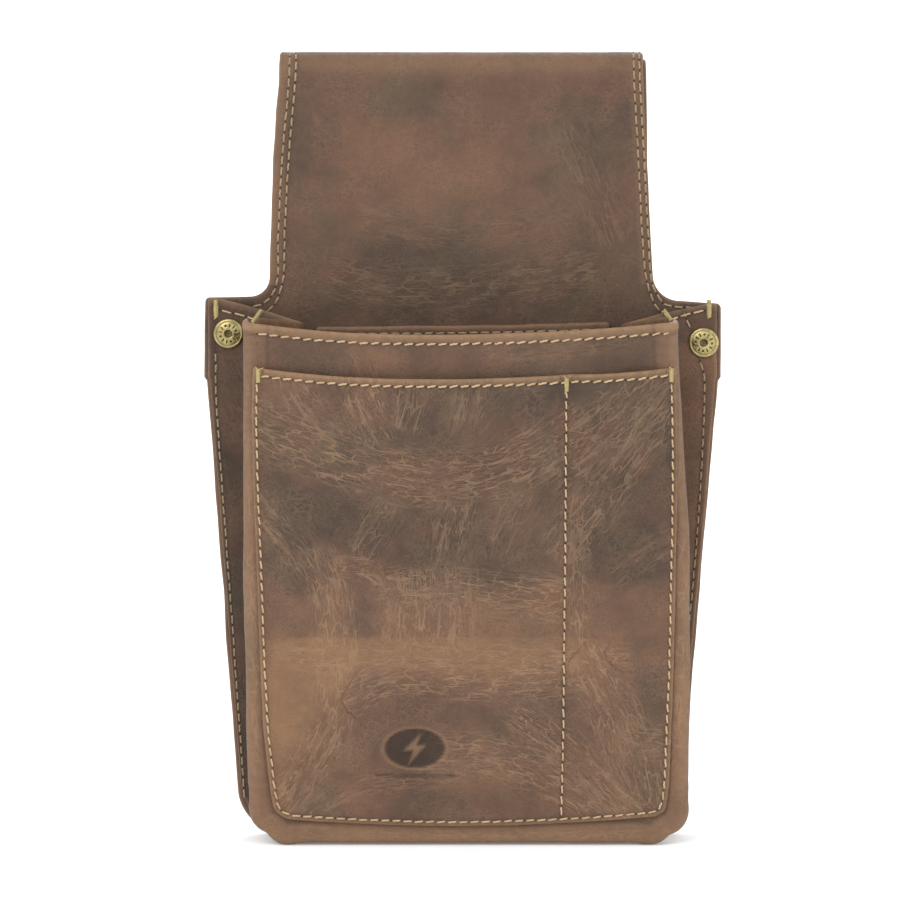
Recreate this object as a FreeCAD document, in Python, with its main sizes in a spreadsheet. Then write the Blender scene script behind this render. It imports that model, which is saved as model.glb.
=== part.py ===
import FreeCAD, Part
import math
import os

import Sketcher

# Leather electrician's tool pouch, in millimetres.
#
# Two drawing frames are used. The back frame has X to the wearer's right-hand side as
# the pouch is looked at, the front surface of the back panel at y = 0, the pocket
# towards -Y and z = 0 at the pouch's bottom. The front frame is the same, but y = 0 is
# the outer face of the pocket front, and the frame leans forward about its bottom edge.
# place() moves both into the part's own frame, whose origin is the middle of the belt loop.

# alias, value, what it is
SIZES = [
    ("leather", 2.4, "outer leather thickness"),
    ("soft_leather", 1.8, "gusset, inner pocket and patch leather thickness"),
    ("lining", 1.4, "belt loop lining thickness"),
    ("bottom_half", 73.0, "back panel half width at the bottom"),
    ("waist_half", 84.0, "back panel half width under the ears"),
    ("waist_height", 150.0, "height where the taper meets the ears"),
    ("ear_half", 84.9, "half width over the ears"),
    ("ear_top", 177.8, "height of the shoulders"),
    ("ear_round", 4.0, "rounding of the ear corners"),
    ("foot_round", 8.0, "rounding of the back panel's bottom corners"),
    ("neck_low_half", 63.0, "neck half width above the shoulders"),
    ("neck_top_half", 59.9, "neck half width at the fold"),
    ("neck_round", 7.0, "fillet between neck and shoulder"),
    ("total_height", 258.7, "height of the fold"),
    ("loop_depth", 15.0, "depth of the belt loop, outside"),
    ("fold_round", 7.3, "outer radius of the fold"),
    ("tail_drop", 190.0, "height where the loop's tail turns in"),
    ("tail_join", 168.0, "top of the tail's sewn end"),
    ("tail_end", 148.0, "bottom of the tail's sewn end"),
    ("tail_round", 6.0, "bend radius of the tail"),
    ("lining_low", 176.0, "bottom of the lining behind the neck"),
    ("lining_tail", 196.0, "bottom of the lining on the tail"),
    ("loop_centre", 222.0, "height of the belt loop's middle"),
    ("bottom_depth", 26.5, "depth of the pocket at its bottom"),
    ("front_lean", 1.8, "forward lean of the pocket front, degrees"),
    ("front_half_top", 70.8, "pocket front half width at the rim"),
    ("front_half_mid", 73.0, "pocket front half width at mid height"),
    ("front_half_low", 72.0, "pocket front half width near the bottom"),
    ("front_mid", 90.0, "height of the widest place of the front"),
    ("front_tall", 173.0, "height of the pocket front's top corners"),
    ("front_return", 9.0, "depth of the front's rolled sides"),
    ("front_roll", 4.0, "rounding of the rolled sides"),
    ("front_corner", 12.0, "rounding of the front's bottom corners"),
    ("rim_sag", 4.0, "sag of the rim at its middle"),
    ("hinge_gap", 0.5, "gap at the flexing bottom seam"),
    ("inner_half", 46.0, "inner pocket half width"),
    ("inner_low", 26.0, "bottom of the inner pocket"),
    ("inner_top", 169.0, "top of the inner pocket"),
    ("inner_depth", 8.0, "depth of the inner pocket"),
    ("inner_round", 3.0, "rounding of the inner pocket's edges"),
    ("gusset_low", 3.5, "bottom of the gussets"),
    ("gusset_top", 177.4, "top of the gusset at the ear"),
    ("gusset_knee", 14.0, "height where the gusset reaches its full width"),
    ("flange_inset", 1.2, "flange edge in from the back panel's edge"),
    ("crease_half_top", 66.7, "rear crease of the gusset at the top"),
    ("crease_half_low", 63.0, "rear crease of the gusset at the bottom"),
    ("nose_half_top", 51.3, "inner fold of the gusset at the top"),
    ("nose_half_low", 56.0, "inner fold of the gusset at the bottom"),
    ("nose_depth_top", 12.0, "depth of the inner fold at the top"),
    ("nose_depth_low", 9.0, "depth of the inner fold at the bottom"),
    ("edge_half_top", 66.6, "front edge of the gusset at the top"),
    ("edge_half_knee", 68.0, "front edge of the gusset above the bottom corner"),
    ("edge_half_low", 60.8, "front edge of the gusset at the bottom"),
    ("edge_depth_top", 27.4, "depth of the gusset's front edge at the top"),
    ("edge_depth_low", 22.0, "depth of the gusset's front edge at the bottom"),
    ("gusset_crease_top", 173.6, "gusset top edge at the rear crease"),
    ("gusset_nose_top", 170.0, "gusset top edge at the inner fold"),
    ("patch_left", 68.5, "patch edge left of the middle"),
    ("patch_right", 69.5, "patch edge right of the middle"),
    ("patch_low_left", 60.5, "patch bottom corner left of the middle"),
    ("patch_low_right", 66.0, "patch bottom corner right of the middle"),
    ("patch_low", 8.0, "bottom of the patch pocket"),
    ("patch_hem_low", 14.5, "top of the patch's sewn bottom land"),
    ("patch_swell_low", 27.0, "height where the patch stands out low down"),
    ("patch_top", 158.4, "top corners of the patch pocket"),
    ("patch_sag", 3.0, "sag of the patch pocket's mouth"),
    ("patch_land", 4.0, "flat sewn land round the patch"),
    ("patch_slope", 12.0, "width of the patch's rising sides"),
    ("divider", 33.5, "divider seam right of the middle"),
    ("swell_low", 5.5, "clear depth of the patch sections low down"),
    ("swell_top", 7.0, "clear depth of the patch sections at the mouth"),
    ("rivet_left", 76.8, "left rivet from the middle"),
    ("rivet_left_up", 166.0, "height of the left rivet"),
    ("rivet_right", 79.1, "right rivet from the middle"),
    ("rivet_right_up", 163.0, "height of the right rivet"),
    ("cap_round", 5.0, "radius of the rivet cap"),
    ("cap_tall", 1.9, "height of the rivet cap"),
    ("cap_dimple", 1.1, "radius of the cap's middle dimple"),
    ("stud_round", 1.4, "radius of the rivet stud"),
    ("stud_base", 4.0, "radius of the stud's rear disc"),
    ("stud_thick", 1.0, "thickness of the stud's rear disc"),
    ("stitch_long", 2.6, "visible length of a stitch"),
    ("stitch_wide", 0.8, "width of a stitch"),
    ("stitch_tall", 0.5, "height of a stitch above the leather"),
    ("stitch_pitch", 3.65, "spacing of the pocket stitches"),
    ("neck_pitch", 4.0, "spacing of the neck stitches"),
    ("tack_long", 4.2, "length of a bar tack"),
    ("tack_wide", 1.7, "width of a bar tack"),
]

LEFT, RIGHT = -1, 1
TOWARDS_FRONT = FreeCAD.Vector(0, -1, 0)
TOWARDS_REAR = FreeCAD.Vector(0, 1, 0)
STITCH_LIFT = 0.02
LONG_CUT = 400.0

document = FreeCAD.newDocument("tool_pouch")


def fill_sheet():
    """The spreadsheet of driving dimensions."""
    made = document.addObject("Spreadsheet::Sheet", "size")
    for row, (alias, value, meaning) in enumerate(SIZES, 1):
        made.set(f"A{row}", meaning)
        made.set(f"B{row}", str(value))
        made.setAlias(f"B{row}", alias)
    document.recompute()
    return made


sheet = fill_sheet()


def size(alias):
    """A driving dimension as a number."""
    return float(sheet.get(alias))


# ---------------------------------------------------------------- drawing helpers


def place(piece, label, in_front=False):
    """Name a sub-part and move it from its drawing frame into the part's frame."""
    piece.Label = label
    turned = FreeCAD.Rotation(FreeCAD.Vector(1, 0, 0), size("front_lean") if in_front else 0.0)
    piece.Placement = FreeCAD.Placement(FreeCAD.Vector(0, 0, 0), turned)
    depth = "size.bottom_depth + " if in_front else ""
    piece.setExpression("Placement.Base.y", f"-({depth}size.loop_depth / 2)")
    piece.setExpression("Placement.Base.z", "-size.loop_centre")
    if in_front:
        piece.setExpression("Placement.Rotation.Angle", "size.front_lean")
    return piece


def new_body(label, in_front=False):
    return place(document.addObject("PartDesign::Body", label), label, in_front)


def new_sketch(body, name, plane, offset=None):
    """A sketch on one of the body's own planes, moved along its normal by an expression."""
    base = next(f for f in body.Origin.OriginFeatures if f.Role == plane)
    sketch = body.newObject("Sketcher::SketchObject", name)
    sketch.AttachmentSupport = [(base, "")]
    sketch.MapMode = "FlatFace"
    if offset:
        sketch.setExpression("AttachmentOffset.Base.z", offset)
    return sketch


def polygon(sketch, corners):
    """A closed polygon whose corners are pairs of expressions, across and up."""
    count = len(corners)
    ring = [
        FreeCAD.Vector(math.cos(2 * math.pi * n / count), math.sin(2 * math.pi * n / count), 0)
        for n in range(count)
    ]
    for n in range(count):
        sketch.addGeometry(Part.LineSegment(ring[n], ring[(n + 1) % count]), False)
    for n in range(count):
        sketch.addConstraint(Sketcher.Constraint("Coincident", n, 2, (n + 1) % count, 1))
    for n, (across, up) in enumerate(corners):
        x = sketch.addConstraint(Sketcher.Constraint("DistanceX", -1, 1, n, 1, ring[n].x))
        y = sketch.addConstraint(Sketcher.Constraint("DistanceY", -1, 1, n, 1, ring[n].y))
        sketch.setExpression(f"Constraints[{x}]", across)
        sketch.setExpression(f"Constraints[{y}]", up)
    return sketch


def circle(sketch, across, up, radius):
    """A circle with its centre and radius given by expressions."""
    sketch.addGeometry(Part.Circle(FreeCAD.Vector(1, 1, 0), FreeCAD.Vector(0, 0, 1), 1), False)
    x = sketch.addConstraint(Sketcher.Constraint("DistanceX", -1, 1, 0, 3, 1.0))
    y = sketch.addConstraint(Sketcher.Constraint("DistanceY", -1, 1, 0, 3, 1.0))
    r = sketch.addConstraint(Sketcher.Constraint("Radius", 0, 1.0))
    sketch.setExpression(f"Constraints[{x}]", across)
    sketch.setExpression(f"Constraints[{y}]", up)
    sketch.setExpression(f"Constraints[{r}]", radius)
    return sketch


def pad(body, name, sketch, length, rearwards=False, both_ways=False):
    """A pad. From the XZ plane it grows towards the front, or rearwards when asked."""
    made = body.newObject("PartDesign::Pad", name)
    made.Profile = sketch
    made.setExpression("Length", length)
    made.Reversed = rearwards
    made.Midplane = both_ways
    document.recompute()
    return made


def cut_through(body, name, sketch):
    """A pocket through everything on both sides of its sketch."""
    before = body.Tip.Shape.Volume
    made = body.newObject("PartDesign::Pocket", name)
    made.Profile = sketch
    made.Length = 2 * LONG_CUT
    made.Midplane = True
    document.recompute()
    if made.Shape.Volume > before - 0.5:
        raise RuntimeError(f"{body.Label}: {name} cuts nothing")
    return made


def round_edges(body, name, radius, chosen):
    """Round the edges of the body's tip that chosen(edge) picks."""
    base = body.Tip
    names = [f"Edge{n}" for n, edge in enumerate(base.Shape.Edges, 1) if chosen(edge)]
    if not names:
        raise RuntimeError(f"{body.Label}: {name} finds no edge")
    made = body.newObject("PartDesign::Fillet", name)
    made.Base = (base, names)
    made.setExpression("Radius", radius)
    document.recompute()
    return made


def runs_along(edge, axis):
    """Whether a straight edge is parallel to a unit vector."""
    if not isinstance(edge.Curve, Part.Line):
        return False
    return abs(abs(edge.Curve.Direction.dot(axis)) - 1) < 1e-6


def near(edge, **where):
    """Whether an edge's middle has these coordinates, to a tenth of a millimetre."""
    middle = edge.valueAt((edge.FirstParameter + edge.LastParameter) / 2)
    return all(abs(getattr(middle, axis) - value) < 0.1 for axis, value in where.items())


def corner_edges(places):
    """Picks the edges along Y that stand at one of these (x, z) places."""
    depthwise = FreeCAD.Vector(0, 1, 0)

    def chosen(edge):
        return runs_along(edge, depthwise) and any(near(edge, x=x, z=z) for x, z in places)

    return chosen


def bend_edges(places):
    """Picks the edges along X that lie at one of these (y, z) places."""
    sideways = FreeCAD.Vector(1, 0, 0)

    def chosen(edge):
        return runs_along(edge, sideways) and any(near(edge, y=y, z=z) for y, z in places)

    return chosen


def sag_cut(body, top, sag, half):
    """Cut the top edge to a shallow arc that hangs by sag between x = -half and half."""
    radius = f"({half} * {half} + {sag} * {sag}) / (2 * {sag})"
    sketch = new_sketch(body, "sag_circle", "XZ_Plane")
    circle(sketch, "0", f"{top} - {sag} + {radius}", radius)
    return cut_through(body, "sag", sketch)


# ---------------------------------------------------------------- back panel and loop


def back_panel():
    """One piece of leather: back, ears, neck, the fold over the belt and its sewn tail."""
    body = new_body("back_panel")
    half = [
        ("size.bottom_half", "0"),
        ("size.waist_half", "size.waist_height"),
        ("size.ear_half", "size.waist_height + 1"),
        ("size.ear_half", "size.ear_top"),
        ("size.neck_low_half", "size.ear_top"),
        ("size.neck_top_half", "size.total_height - size.fold_round"),
    ]
    outline = [(x, z) for x, z in half] + [(f"-{x}", z) for x, z in reversed(half)]
    pad(body, "sheet", polygon(new_sketch(body, "outline", "XZ_Plane"), outline), "size.leather", True)

    strip = [
        ("0", "size.total_height - 2 * size.fold_round"),
        ("0", "size.total_height"),
        ("size.loop_depth", "size.total_height"),
        ("size.loop_depth", "size.tail_drop"),
        ("2 * size.leather", "size.tail_join"),
        ("2 * size.leather", "size.tail_end"),
        ("size.leather", "size.tail_end"),
        ("size.leather", "size.tail_join + 1"),
        ("size.loop_depth - size.leather", "size.tail_drop + 1"),
        ("size.loop_depth - size.leather", "size.total_height - size.leather"),
        ("size.leather", "size.total_height - size.leather"),
        ("size.leather", "size.total_height - 2 * size.fold_round"),
    ]
    loop = polygon(new_sketch(body, "loop", "YZ_Plane"), strip)
    pad(body, "fold_and_tail", loop, "2 * size.neck_top_half", both_ways=True)

    top = size("total_height")
    rear = size("loop_depth")
    thick = size("leather")
    ear = size("ear_half")
    shoulder = size("ear_top")
    neck = size("neck_low_half")
    foot = size("bottom_half")
    round_edges(body, "fold_outside", "size.fold_round", bend_edges([(0, top), (rear, top)]))
    inside = [(thick, top - thick), (rear - thick, top - thick)]
    round_edges(body, "fold_inside", "size.fold_round - size.leather", bend_edges(inside))
    tail = [
        (rear, size("tail_drop")),
        (2 * thick, size("tail_join")),
        (rear - thick, size("tail_drop") + 1),
        (thick, size("tail_join") + 1),
    ]
    round_edges(body, "tail_bends", "size.tail_round", bend_edges(tail[:2]))
    round_edges(body, "ears", "size.ear_round", corner_edges([(-ear, shoulder), (ear, shoulder)]))
    round_edges(body, "neck", "size.neck_round", corner_edges([(-neck, shoulder), (neck, shoulder)]))
    round_edges(body, "feet", "size.foot_round", corner_edges([(-foot, 0), (foot, 0)]))
    rivet_holes(body, (LEFT, RIGHT))
    return body


def rivet_holes(body, sides):
    """Holes for the rivet studs through a piece in the back frame."""
    for side in sides:
        name, sign = ("left", "-") if side == LEFT else ("right", "")
        sketch = new_sketch(body, f"{name}_rivet_circle", "XZ_Plane")
        circle(sketch, f"{sign}size.rivet_{name}", f"size.rivet_{name}_up", "size.stud_round + 0.1")
        cut_through(body, f"{name}_rivet_hole", sketch)


def loop_lining():
    """Second layer sewn inside the neck and over the inside of the fold."""
    body = new_body("loop_lining")
    rear = "size.loop_depth - size.leather"
    inner_top = "size.total_height - size.leather"
    strip = [
        ("size.leather", "size.lining_low"),
        ("size.leather", inner_top),
        (rear, inner_top),
        (rear, "size.lining_tail"),
        (f"{rear} - size.lining", "size.lining_tail"),
        (f"{rear} - size.lining", f"{inner_top} - size.lining"),
        ("size.leather + size.lining", f"{inner_top} - size.lining"),
        ("size.leather + size.lining", "size.lining_low"),
    ]
    profile = polygon(new_sketch(body, "profile", "YZ_Plane"), strip)
    pad(body, "sheet", profile, "2 * size.neck_top_half - 1", both_ways=True)
    near_y = size("leather")
    far_y = size("loop_depth") - size("leather")
    high = size("total_height") - size("leather")
    thin = size("lining")
    round_edges(
        body,
        "fold_outside",
        "size.fold_round - size.leather + 0.1",
        bend_edges([(near_y, high), (far_y, high)]),
    )
    round_edges(
        body,
        "fold_inside",
        "size.fold_round - size.leather - size.lining + 0.1",
        bend_edges([(near_y + thin, high - thin), (far_y - thin, high - thin)]),
    )
    return body


# ---------------------------------------------------------------- pocket walls


def hollow_tray(body, wall, open_faces):
    """Hollow a slab to a wall thickness, leaving open the faces that open_faces picks."""
    base = body.Tip
    names = [f"Face{n}" for n, face in enumerate(base.Shape.Faces, 1) if open_faces(face)]
    made = body.newObject("PartDesign::Thickness", "hollow")
    made.Base = (base, names)
    made.setExpression("Value", wall)
    made.Reversed = True
    made.Join = 1
    document.recompute()
    if made.Shape.Volume > 0.6 * base.Shape.Volume:
        raise RuntimeError(f"{body.Label}: the slab was not hollowed")
    return made


def faces_towards(direction):
    """Picks the flat faces whose outward normal is this direction."""

    def chosen(face):
        if not isinstance(face.Surface, Part.Plane):
            return False
        middle = face.ParameterRange
        normal = face.normalAt((middle[0] + middle[1]) / 2, (middle[2] + middle[3]) / 2)
        return (normal - direction).Length < 1e-3

    return chosen


def inner_pocket():
    """Slip pocket on the front of the back panel, open at the top."""
    body = new_body("inner_pocket")
    corners = [
        ("-size.inner_half", "size.inner_low"),
        ("size.inner_half", "size.inner_low"),
        ("size.inner_half", "size.inner_top"),
        ("-size.inner_half", "size.inner_top"),
    ]
    pad(body, "slab", polygon(new_sketch(body, "outline", "XZ_Plane"), corners), "size.inner_depth")
    half = size("inner_half")
    low = size("inner_low")
    round_edges(body, "foot", "2 * size.inner_round", corner_edges([(-half, low), (half, low)]))
    depth = size("inner_depth")
    middle = (low + size("inner_top")) / 2

    def front_rim(edge):
        """The front edges of the sides and bottom, not of the mouth."""
        return all(abs(v.Y + depth) < 0.01 for v in edge.Vertexes) and not near(
            edge, x=0, z=size("inner_top")
        )

    round_edges(body, "soft_edges", "size.inner_round", front_rim)
    up = faces_towards(FreeCAD.Vector(0, 0, 1))
    rearward = faces_towards(TOWARDS_REAR)
    hollow_tray(body, "size.soft_leather", lambda face: (up(face) and face.CenterOfMass.z > middle) or rearward(face))
    return body


def pocket_front():
    """Main front: face, rolled sides and turned-under bottom in one piece of leather."""
    body = new_body("pocket_front", in_front=True)
    half = [
        ("size.front_half_low", "0"),
        ("size.front_half_mid", "size.front_mid"),
        ("size.front_half_top", "size.front_tall"),
    ]
    outline = [(x, z) for x, z in half] + [(f"-{x}", z) for x, z in reversed(half)]
    sketch = polygon(new_sketch(body, "outline", "XZ_Plane"), outline)
    pad(body, "slab", sketch, "size.front_return", rearwards=True)
    foot = size("front_half_low")
    round_edges(body, "corners", "size.front_corner", corner_edges([(-foot, 0), (foot, 0)]))

    def front_rim(edge):
        """The outer face's side and bottom edges, not its top edge."""
        return all(abs(v.Y) < 0.01 for v in edge.Vertexes) and not near(edge, x=0, z=size("front_tall"))

    round_edges(body, "rolled_edges", "size.front_roll", front_rim)
    up = faces_towards(FreeCAD.Vector(0, 0, 1))
    rearward = faces_towards(TOWARDS_REAR)
    hollow_tray(body, "size.leather", lambda face: up(face) or rearward(face))
    sag_cut(body, "size.front_tall", "size.rim_sag", "size.front_half_top")
    return body


def pocket_bottom():
    """Bottom of the main pocket, from the back panel to the flexing seam."""
    body = new_body("pocket_bottom")
    half = "size.bottom_half - size.foot_round"
    front = "-(size.bottom_depth - size.front_return - size.hinge_gap)"
    corners = [(f"-({half})", "0"), (half, "0"), (half, front), (f"-({half})", front)]
    pad(body, "sheet", polygon(new_sketch(body, "outline", "XY_Plane"), corners), "size.leather")
    return body


def between(low, high, share):
    """A value part of the way from one expression to another, as an expression."""
    return f"({low} + ({high} - {low}) * {share})"


def gusset(side):
    """Bellows side: a flange sewn on the back panel, an inward fold and a front edge.

    It is one strip of leather whose plan is the same at every height but for its size,
    so it is lofted between sections at its bottom, above the pocket's corner and at its top.
    """
    name = "left_gusset" if side == LEFT else "right_gusset"
    sign = "-" if side == LEFT else ""
    body = new_body(name)
    thick = "size.soft_leather"
    sketches = []
    for level in ("low", "knee", "top"):
        height = f"size.gusset_{level}"
        share = f"(({height} - size.gusset_low) / (size.gusset_top - size.gusset_low))"
        taper = f"(size.waist_half - size.bottom_half) * {height} / size.waist_height"
        flange = f"size.bottom_half + {taper} - size.flange_inset"
        crease = between("size.crease_half_low", "size.crease_half_top", share)
        nose = between("size.nose_half_low", "size.nose_half_top", share)
        nose_y = between("size.nose_depth_low", "size.nose_depth_top", share)
        edge = f"size.edge_half_{level}"
        edge_y = between("size.edge_depth_low", "size.edge_depth_top", share)
        path = [
            (flange, "0"),
            (f"{crease} + 0.6", "0"),
            (nose, f"-({nose_y} - {thick} / 2)"),
            (f"{nose}", f"-({nose_y} + {thick} / 2)"),
            (edge, f"-{edge_y}"),
            (f"{edge} + 1.2", f"-({edge_y} - 1.5)"),
            (f"{nose} + 2.6", f"-{nose_y}"),
            (crease, f"-{thick}"),
            (flange, f"-{thick}"),
        ]
        corners = [(f"{sign}({x})", y) for x, y in path]
        sketches.append(polygon(new_sketch(body, f"{level}_section", "XY_Plane", height), corners))
    loft = body.newObject("PartDesign::AdditiveLoft", "sheet")
    loft.Profile = sketches[0]
    loft.Sections = sketches[1:]
    loft.Ruled = True
    document.recompute()

    above = "size.gusset_top + 5"
    beyond = "size.ear_half + 5"
    edge_line = [
        (beyond, above),
        (beyond, "size.gusset_top - size.ear_round"),
        ("size.ear_half", "size.gusset_top - size.ear_round"),
        ("size.ear_half - size.ear_round", "size.gusset_top"),
        ("size.crease_half_top", "size.gusset_crease_top"),
        ("size.nose_half_top - 1", "size.gusset_nose_top"),
        ("size.nose_half_top - 5", above),
    ]
    corners = [(f"{sign}({x})", z) for x, z in edge_line]
    cut_through(body, "top_edge", polygon(new_sketch(body, "top_edge_line", "XZ_Plane"), corners))
    rivet_holes(body, (side,))
    return body


# ---------------------------------------------------------------- patch pocket


# level of the patch: its height, how far it stands off the front, share of its full width
PATCH_LEVELS = {
    "low": ("size.patch_low", "0", "0"),
    "land": ("size.patch_hem_low", "0", "0.25"),
    "swell": ("size.patch_swell_low", "size.swell_low", "0.5"),
    "top": ("size.patch_top", "size.swell_top", "1"),
}


def patch_side(side, level):
    """Half width of the patch at a level, as an expression."""
    name = "left" if side == LEFT else "right"
    return between(f"size.patch_low_{name}", f"size.patch_{name}", PATCH_LEVELS[level][2])


def patch_pocket():
    """Tool pocket sewn on the front, in a wide and a narrow section beside each other."""
    body = new_body("patch_pocket", in_front=True)
    thick = "size.soft_leather"
    land = "size.patch_land"
    slope = "size.patch_slope"
    outers, wides, narrows = [], [], []
    for level, (height, rise, _) in PATCH_LEVELS.items():
        left = patch_side(LEFT, level)
        right = patch_side(RIGHT, level)
        out = f"-({rise} + {thick})"
        outer = [
            (f"-{left}", "0"),
            (right, "0"),
            (right, f"-{thick}"),
            (f"{right} - {land}", f"-{thick}"),
            (f"{right} - {land} - {slope} * 0.7", out),
            (f"size.divider + {land} / 2 + {slope} * 0.6", out),
            (f"size.divider + {land} / 2", f"-{thick}"),
            (f"size.divider - {land} / 2", f"-{thick}"),
            (f"size.divider - {land} / 2 - {slope}", out),
            (f"-{left} + {land} + {slope}", out),
            (f"-{left} + {land}", f"-{thick}"),
            (f"-{left}", f"-{thick}"),
        ]
        outers.append(polygon(new_sketch(body, f"outer_{level}", "XY_Plane", height), outer))
    skin = body.newObject("PartDesign::AdditiveLoft", "skin")
    skin.Profile = outers[0]
    skin.Sections = outers[1:]
    skin.Ruled = True
    document.recompute()

    hollow_levels = [
        ("land", "size.patch_hem_low + 1", "0.2"),
        ("swell", "size.patch_swell_low", "size.swell_low"),
        ("top", "size.patch_top + 1", "size.swell_top"),
    ]
    for level, height, rise in hollow_levels:
        left = patch_side(LEFT, level)
        right = patch_side(RIGHT, level)
        depth = f"-{rise}"
        wide = [
            (f"-{left} + {land} + 1", "0"),
            (f"size.divider - {land} / 2 - 1", "0"),
            (f"size.divider - {land} / 2 - {slope} - 0.5", depth),
            (f"-{left} + {land} + {slope} + 0.5", depth),
        ]
        narrow = [
            (f"size.divider + {land} / 2 + 1", "0"),
            (f"{right} - {land} - 1", "0"),
            (f"{right} - {land} - {slope} * 0.7 - 0.5", depth),
            (f"size.divider + {land} / 2 + {slope} * 0.6 + 0.5", depth),
        ]
        wides.append(polygon(new_sketch(body, f"wide_{level}", "XY_Plane", height), wide))
        narrows.append(polygon(new_sketch(body, f"narrow_{level}", "XY_Plane", height), narrow))
    for name, sections in (("wide_section", wides), ("narrow_section", narrows)):
        before = body.Tip.Shape.Volume
        hollow = body.newObject("PartDesign::SubtractiveLoft", name)
        hollow.Profile = sections[0]
        hollow.Sections = sections[1:]
        hollow.Ruled = True
        document.recompute()
        if hollow.Shape.Volume > before - 100:
            raise RuntimeError(f"patch_pocket: {name} cuts nothing")
    sag_cut(body, "size.patch_top", "size.patch_sag", "size.patch_right")
    return body


# ---------------------------------------------------------------- rivets


def rivet(side):
    """A two-part rivet through the ear: a domed cap in front and a stud from behind."""
    name, sign = ("left", "-") if side == LEFT else ("right", "")
    across = f"{sign}size.rivet_{name}"
    up = f"size.rivet_{name}_up"

    cap = new_body(f"{name}_rivet_cap")
    outline = [
        ("0", "-(size.soft_leather + size.cap_tall * 0.6)"),
        ("size.cap_dimple * 0.6", "-(size.soft_leather + size.cap_tall * 0.6)"),
        ("size.cap_dimple", "-(size.soft_leather + size.cap_tall * 0.95)"),
        ("size.cap_round * 0.5", "-(size.soft_leather + size.cap_tall)"),
        ("size.cap_round * 0.8", "-(size.soft_leather + size.cap_tall * 0.8)"),
        ("size.cap_round * 0.95", "-(size.soft_leather + size.cap_tall * 0.5)"),
        ("size.cap_round", "-size.soft_leather"),
        ("0", "-size.soft_leather"),
    ]
    turn(cap, "dome", outline)
    stud = new_body(f"{name}_rivet_stud")
    outline = [
        ("0", "-size.soft_leather"),
        ("size.stud_round", "-size.soft_leather"),
        ("size.stud_round", "size.leather"),
        ("size.stud_base", "size.leather"),
        ("size.stud_base * 0.85", "size.leather + size.stud_thick"),
        ("0", "size.leather + size.stud_thick"),
    ]
    turn(stud, "stud", outline)
    for body in (cap, stud):
        body.setExpression("Placement.Base.x", across)
        body.setExpression("Placement.Base.z", f"{up} - size.loop_centre")
    document.recompute()
    return cap, stud


def turn(body, name, outline):
    """A full turn about the Y axis of an outline of (radius, y) expressions."""
    sketch = polygon(new_sketch(body, f"{name}_outline", "XY_Plane"), outline)
    made = body.newObject("PartDesign::Revolution", name)
    made.Profile = sketch
    made.ReferenceAxis = (sketch, ["V_Axis"])
    made.Angle = 360
    document.recompute()
    return made


# ---------------------------------------------------------------- thread


def thread_box(middle, along, outward, long, wide):
    """One stitch: a flat-sided block lying on the leather."""
    across = outward.cross(along)
    tall = size("stitch_tall")
    block = Part.makeBox(long, wide, tall, FreeCAD.Vector(-long / 2, -wide / 2, STITCH_LIFT))
    turned = FreeCAD.Matrix(
        along.x, across.x, outward.x, middle.x,
        along.y, across.y, outward.y, middle.y,
        along.z, across.z, outward.z, middle.z,
        0, 0, 0, 1,
    )
    block.Placement = FreeCAD.Placement(turned)
    return block


def stitches(path, outward, pitch, trim=0.0):
    """Evenly spaced stitches along each straight run of a path of 3-D points."""
    blocks = []
    for start, end in zip(path, path[1:]):
        run = end - start
        usable = run.Length - 2 * trim
        count = max(1, int(usable / pitch))
        along = FreeCAD.Vector(run).normalize()
        for n in range(count):
            reach = trim + usable * (n + 0.5) / count
            facing = outward - along * outward.dot(along)
            blocks.append(
                thread_box(start + along * reach, along, facing.normalize(), size("stitch_long"), size("stitch_wide"))
            )
    return blocks


def tack(middle, along, outward):
    """A bar tack: a short dense bar of thread."""
    return thread_box(middle, along, outward, size("tack_long"), size("tack_wide"))


def thread(label, blocks, in_front=False):
    """A node of thread, one block to a stitch."""
    made = document.addObject("Part::Feature", label)
    made.Shape = Part.makeCompound(blocks)
    return place(made, label, in_front)


def points(y, *places):
    """3-D points at one depth from (x, z) pairs."""
    return [FreeCAD.Vector(x, y, z) for x, z in places]


def neck_thread(side):
    """Two rows down a side of the neck, running out along the shoulder and to the seam."""
    name = "left" if side == LEFT else "right"
    high = size("total_height") - size("fold_round")
    shoulder = size("ear_top")
    low = size("neck_low_half")
    top = size("neck_top_half")
    outer, inner = 2.6, 4.8
    outer_row = points(
        0,
        (side * (top - outer), high),
        (side * (low - outer), shoulder + 9),
        (side * (low + 1), shoulder - 1.5),
        (side * (size("crease_half_top") + 4.5), shoulder - 2),
    )
    inner_row = points(
        0,
        (side * (top - inner), high),
        (side * (low - inner), shoulder + 6),
        (side * (low + 1.5), size("gusset_top") - 1.5),
    )
    pitch = size("neck_pitch")
    blocks = stitches(outer_row, TOWARDS_FRONT, pitch, 1.6)
    blocks += stitches(inner_row, TOWARDS_FRONT, pitch, 1.6)
    return thread(f"{name}_neck_stitching", blocks)


def side_seam_thread(side):
    """The seam that holds a gusset's flange on the back panel, broken under the rivet cap."""
    name = "left" if side == LEFT else "right"
    inset = 2.9
    low_up = size("foot_round") + 4
    slope = (size("waist_half") - size("bottom_half")) / size("waist_height")
    rivet_up = size(f"rivet_{name}_up")
    face = -size("soft_leather")

    def seam(up):
        return (side * (size("bottom_half") + slope * min(up, size("waist_height")) - inset), up)

    if side == LEFT:
        runs = [[seam(size("ear_top") - 4), seam(rivet_up + 4.6)], [seam(rivet_up - 4.6), seam(low_up)]]
    else:
        across = size("rivet_right")
        joins = seam(rivet_up - 9)
        runs = [
            [(across - 9, rivet_up + 6.5), (across - 5.7, rivet_up + 1.2)],
            [(across - 2.4, rivet_up - 5), joins, seam(low_up)],
        ]
    blocks = []
    for run in runs:
        blocks += stitches(points(face, *run), TOWARDS_FRONT, size("stitch_pitch"))
    return thread(f"{name}_side_seam", blocks)


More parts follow.
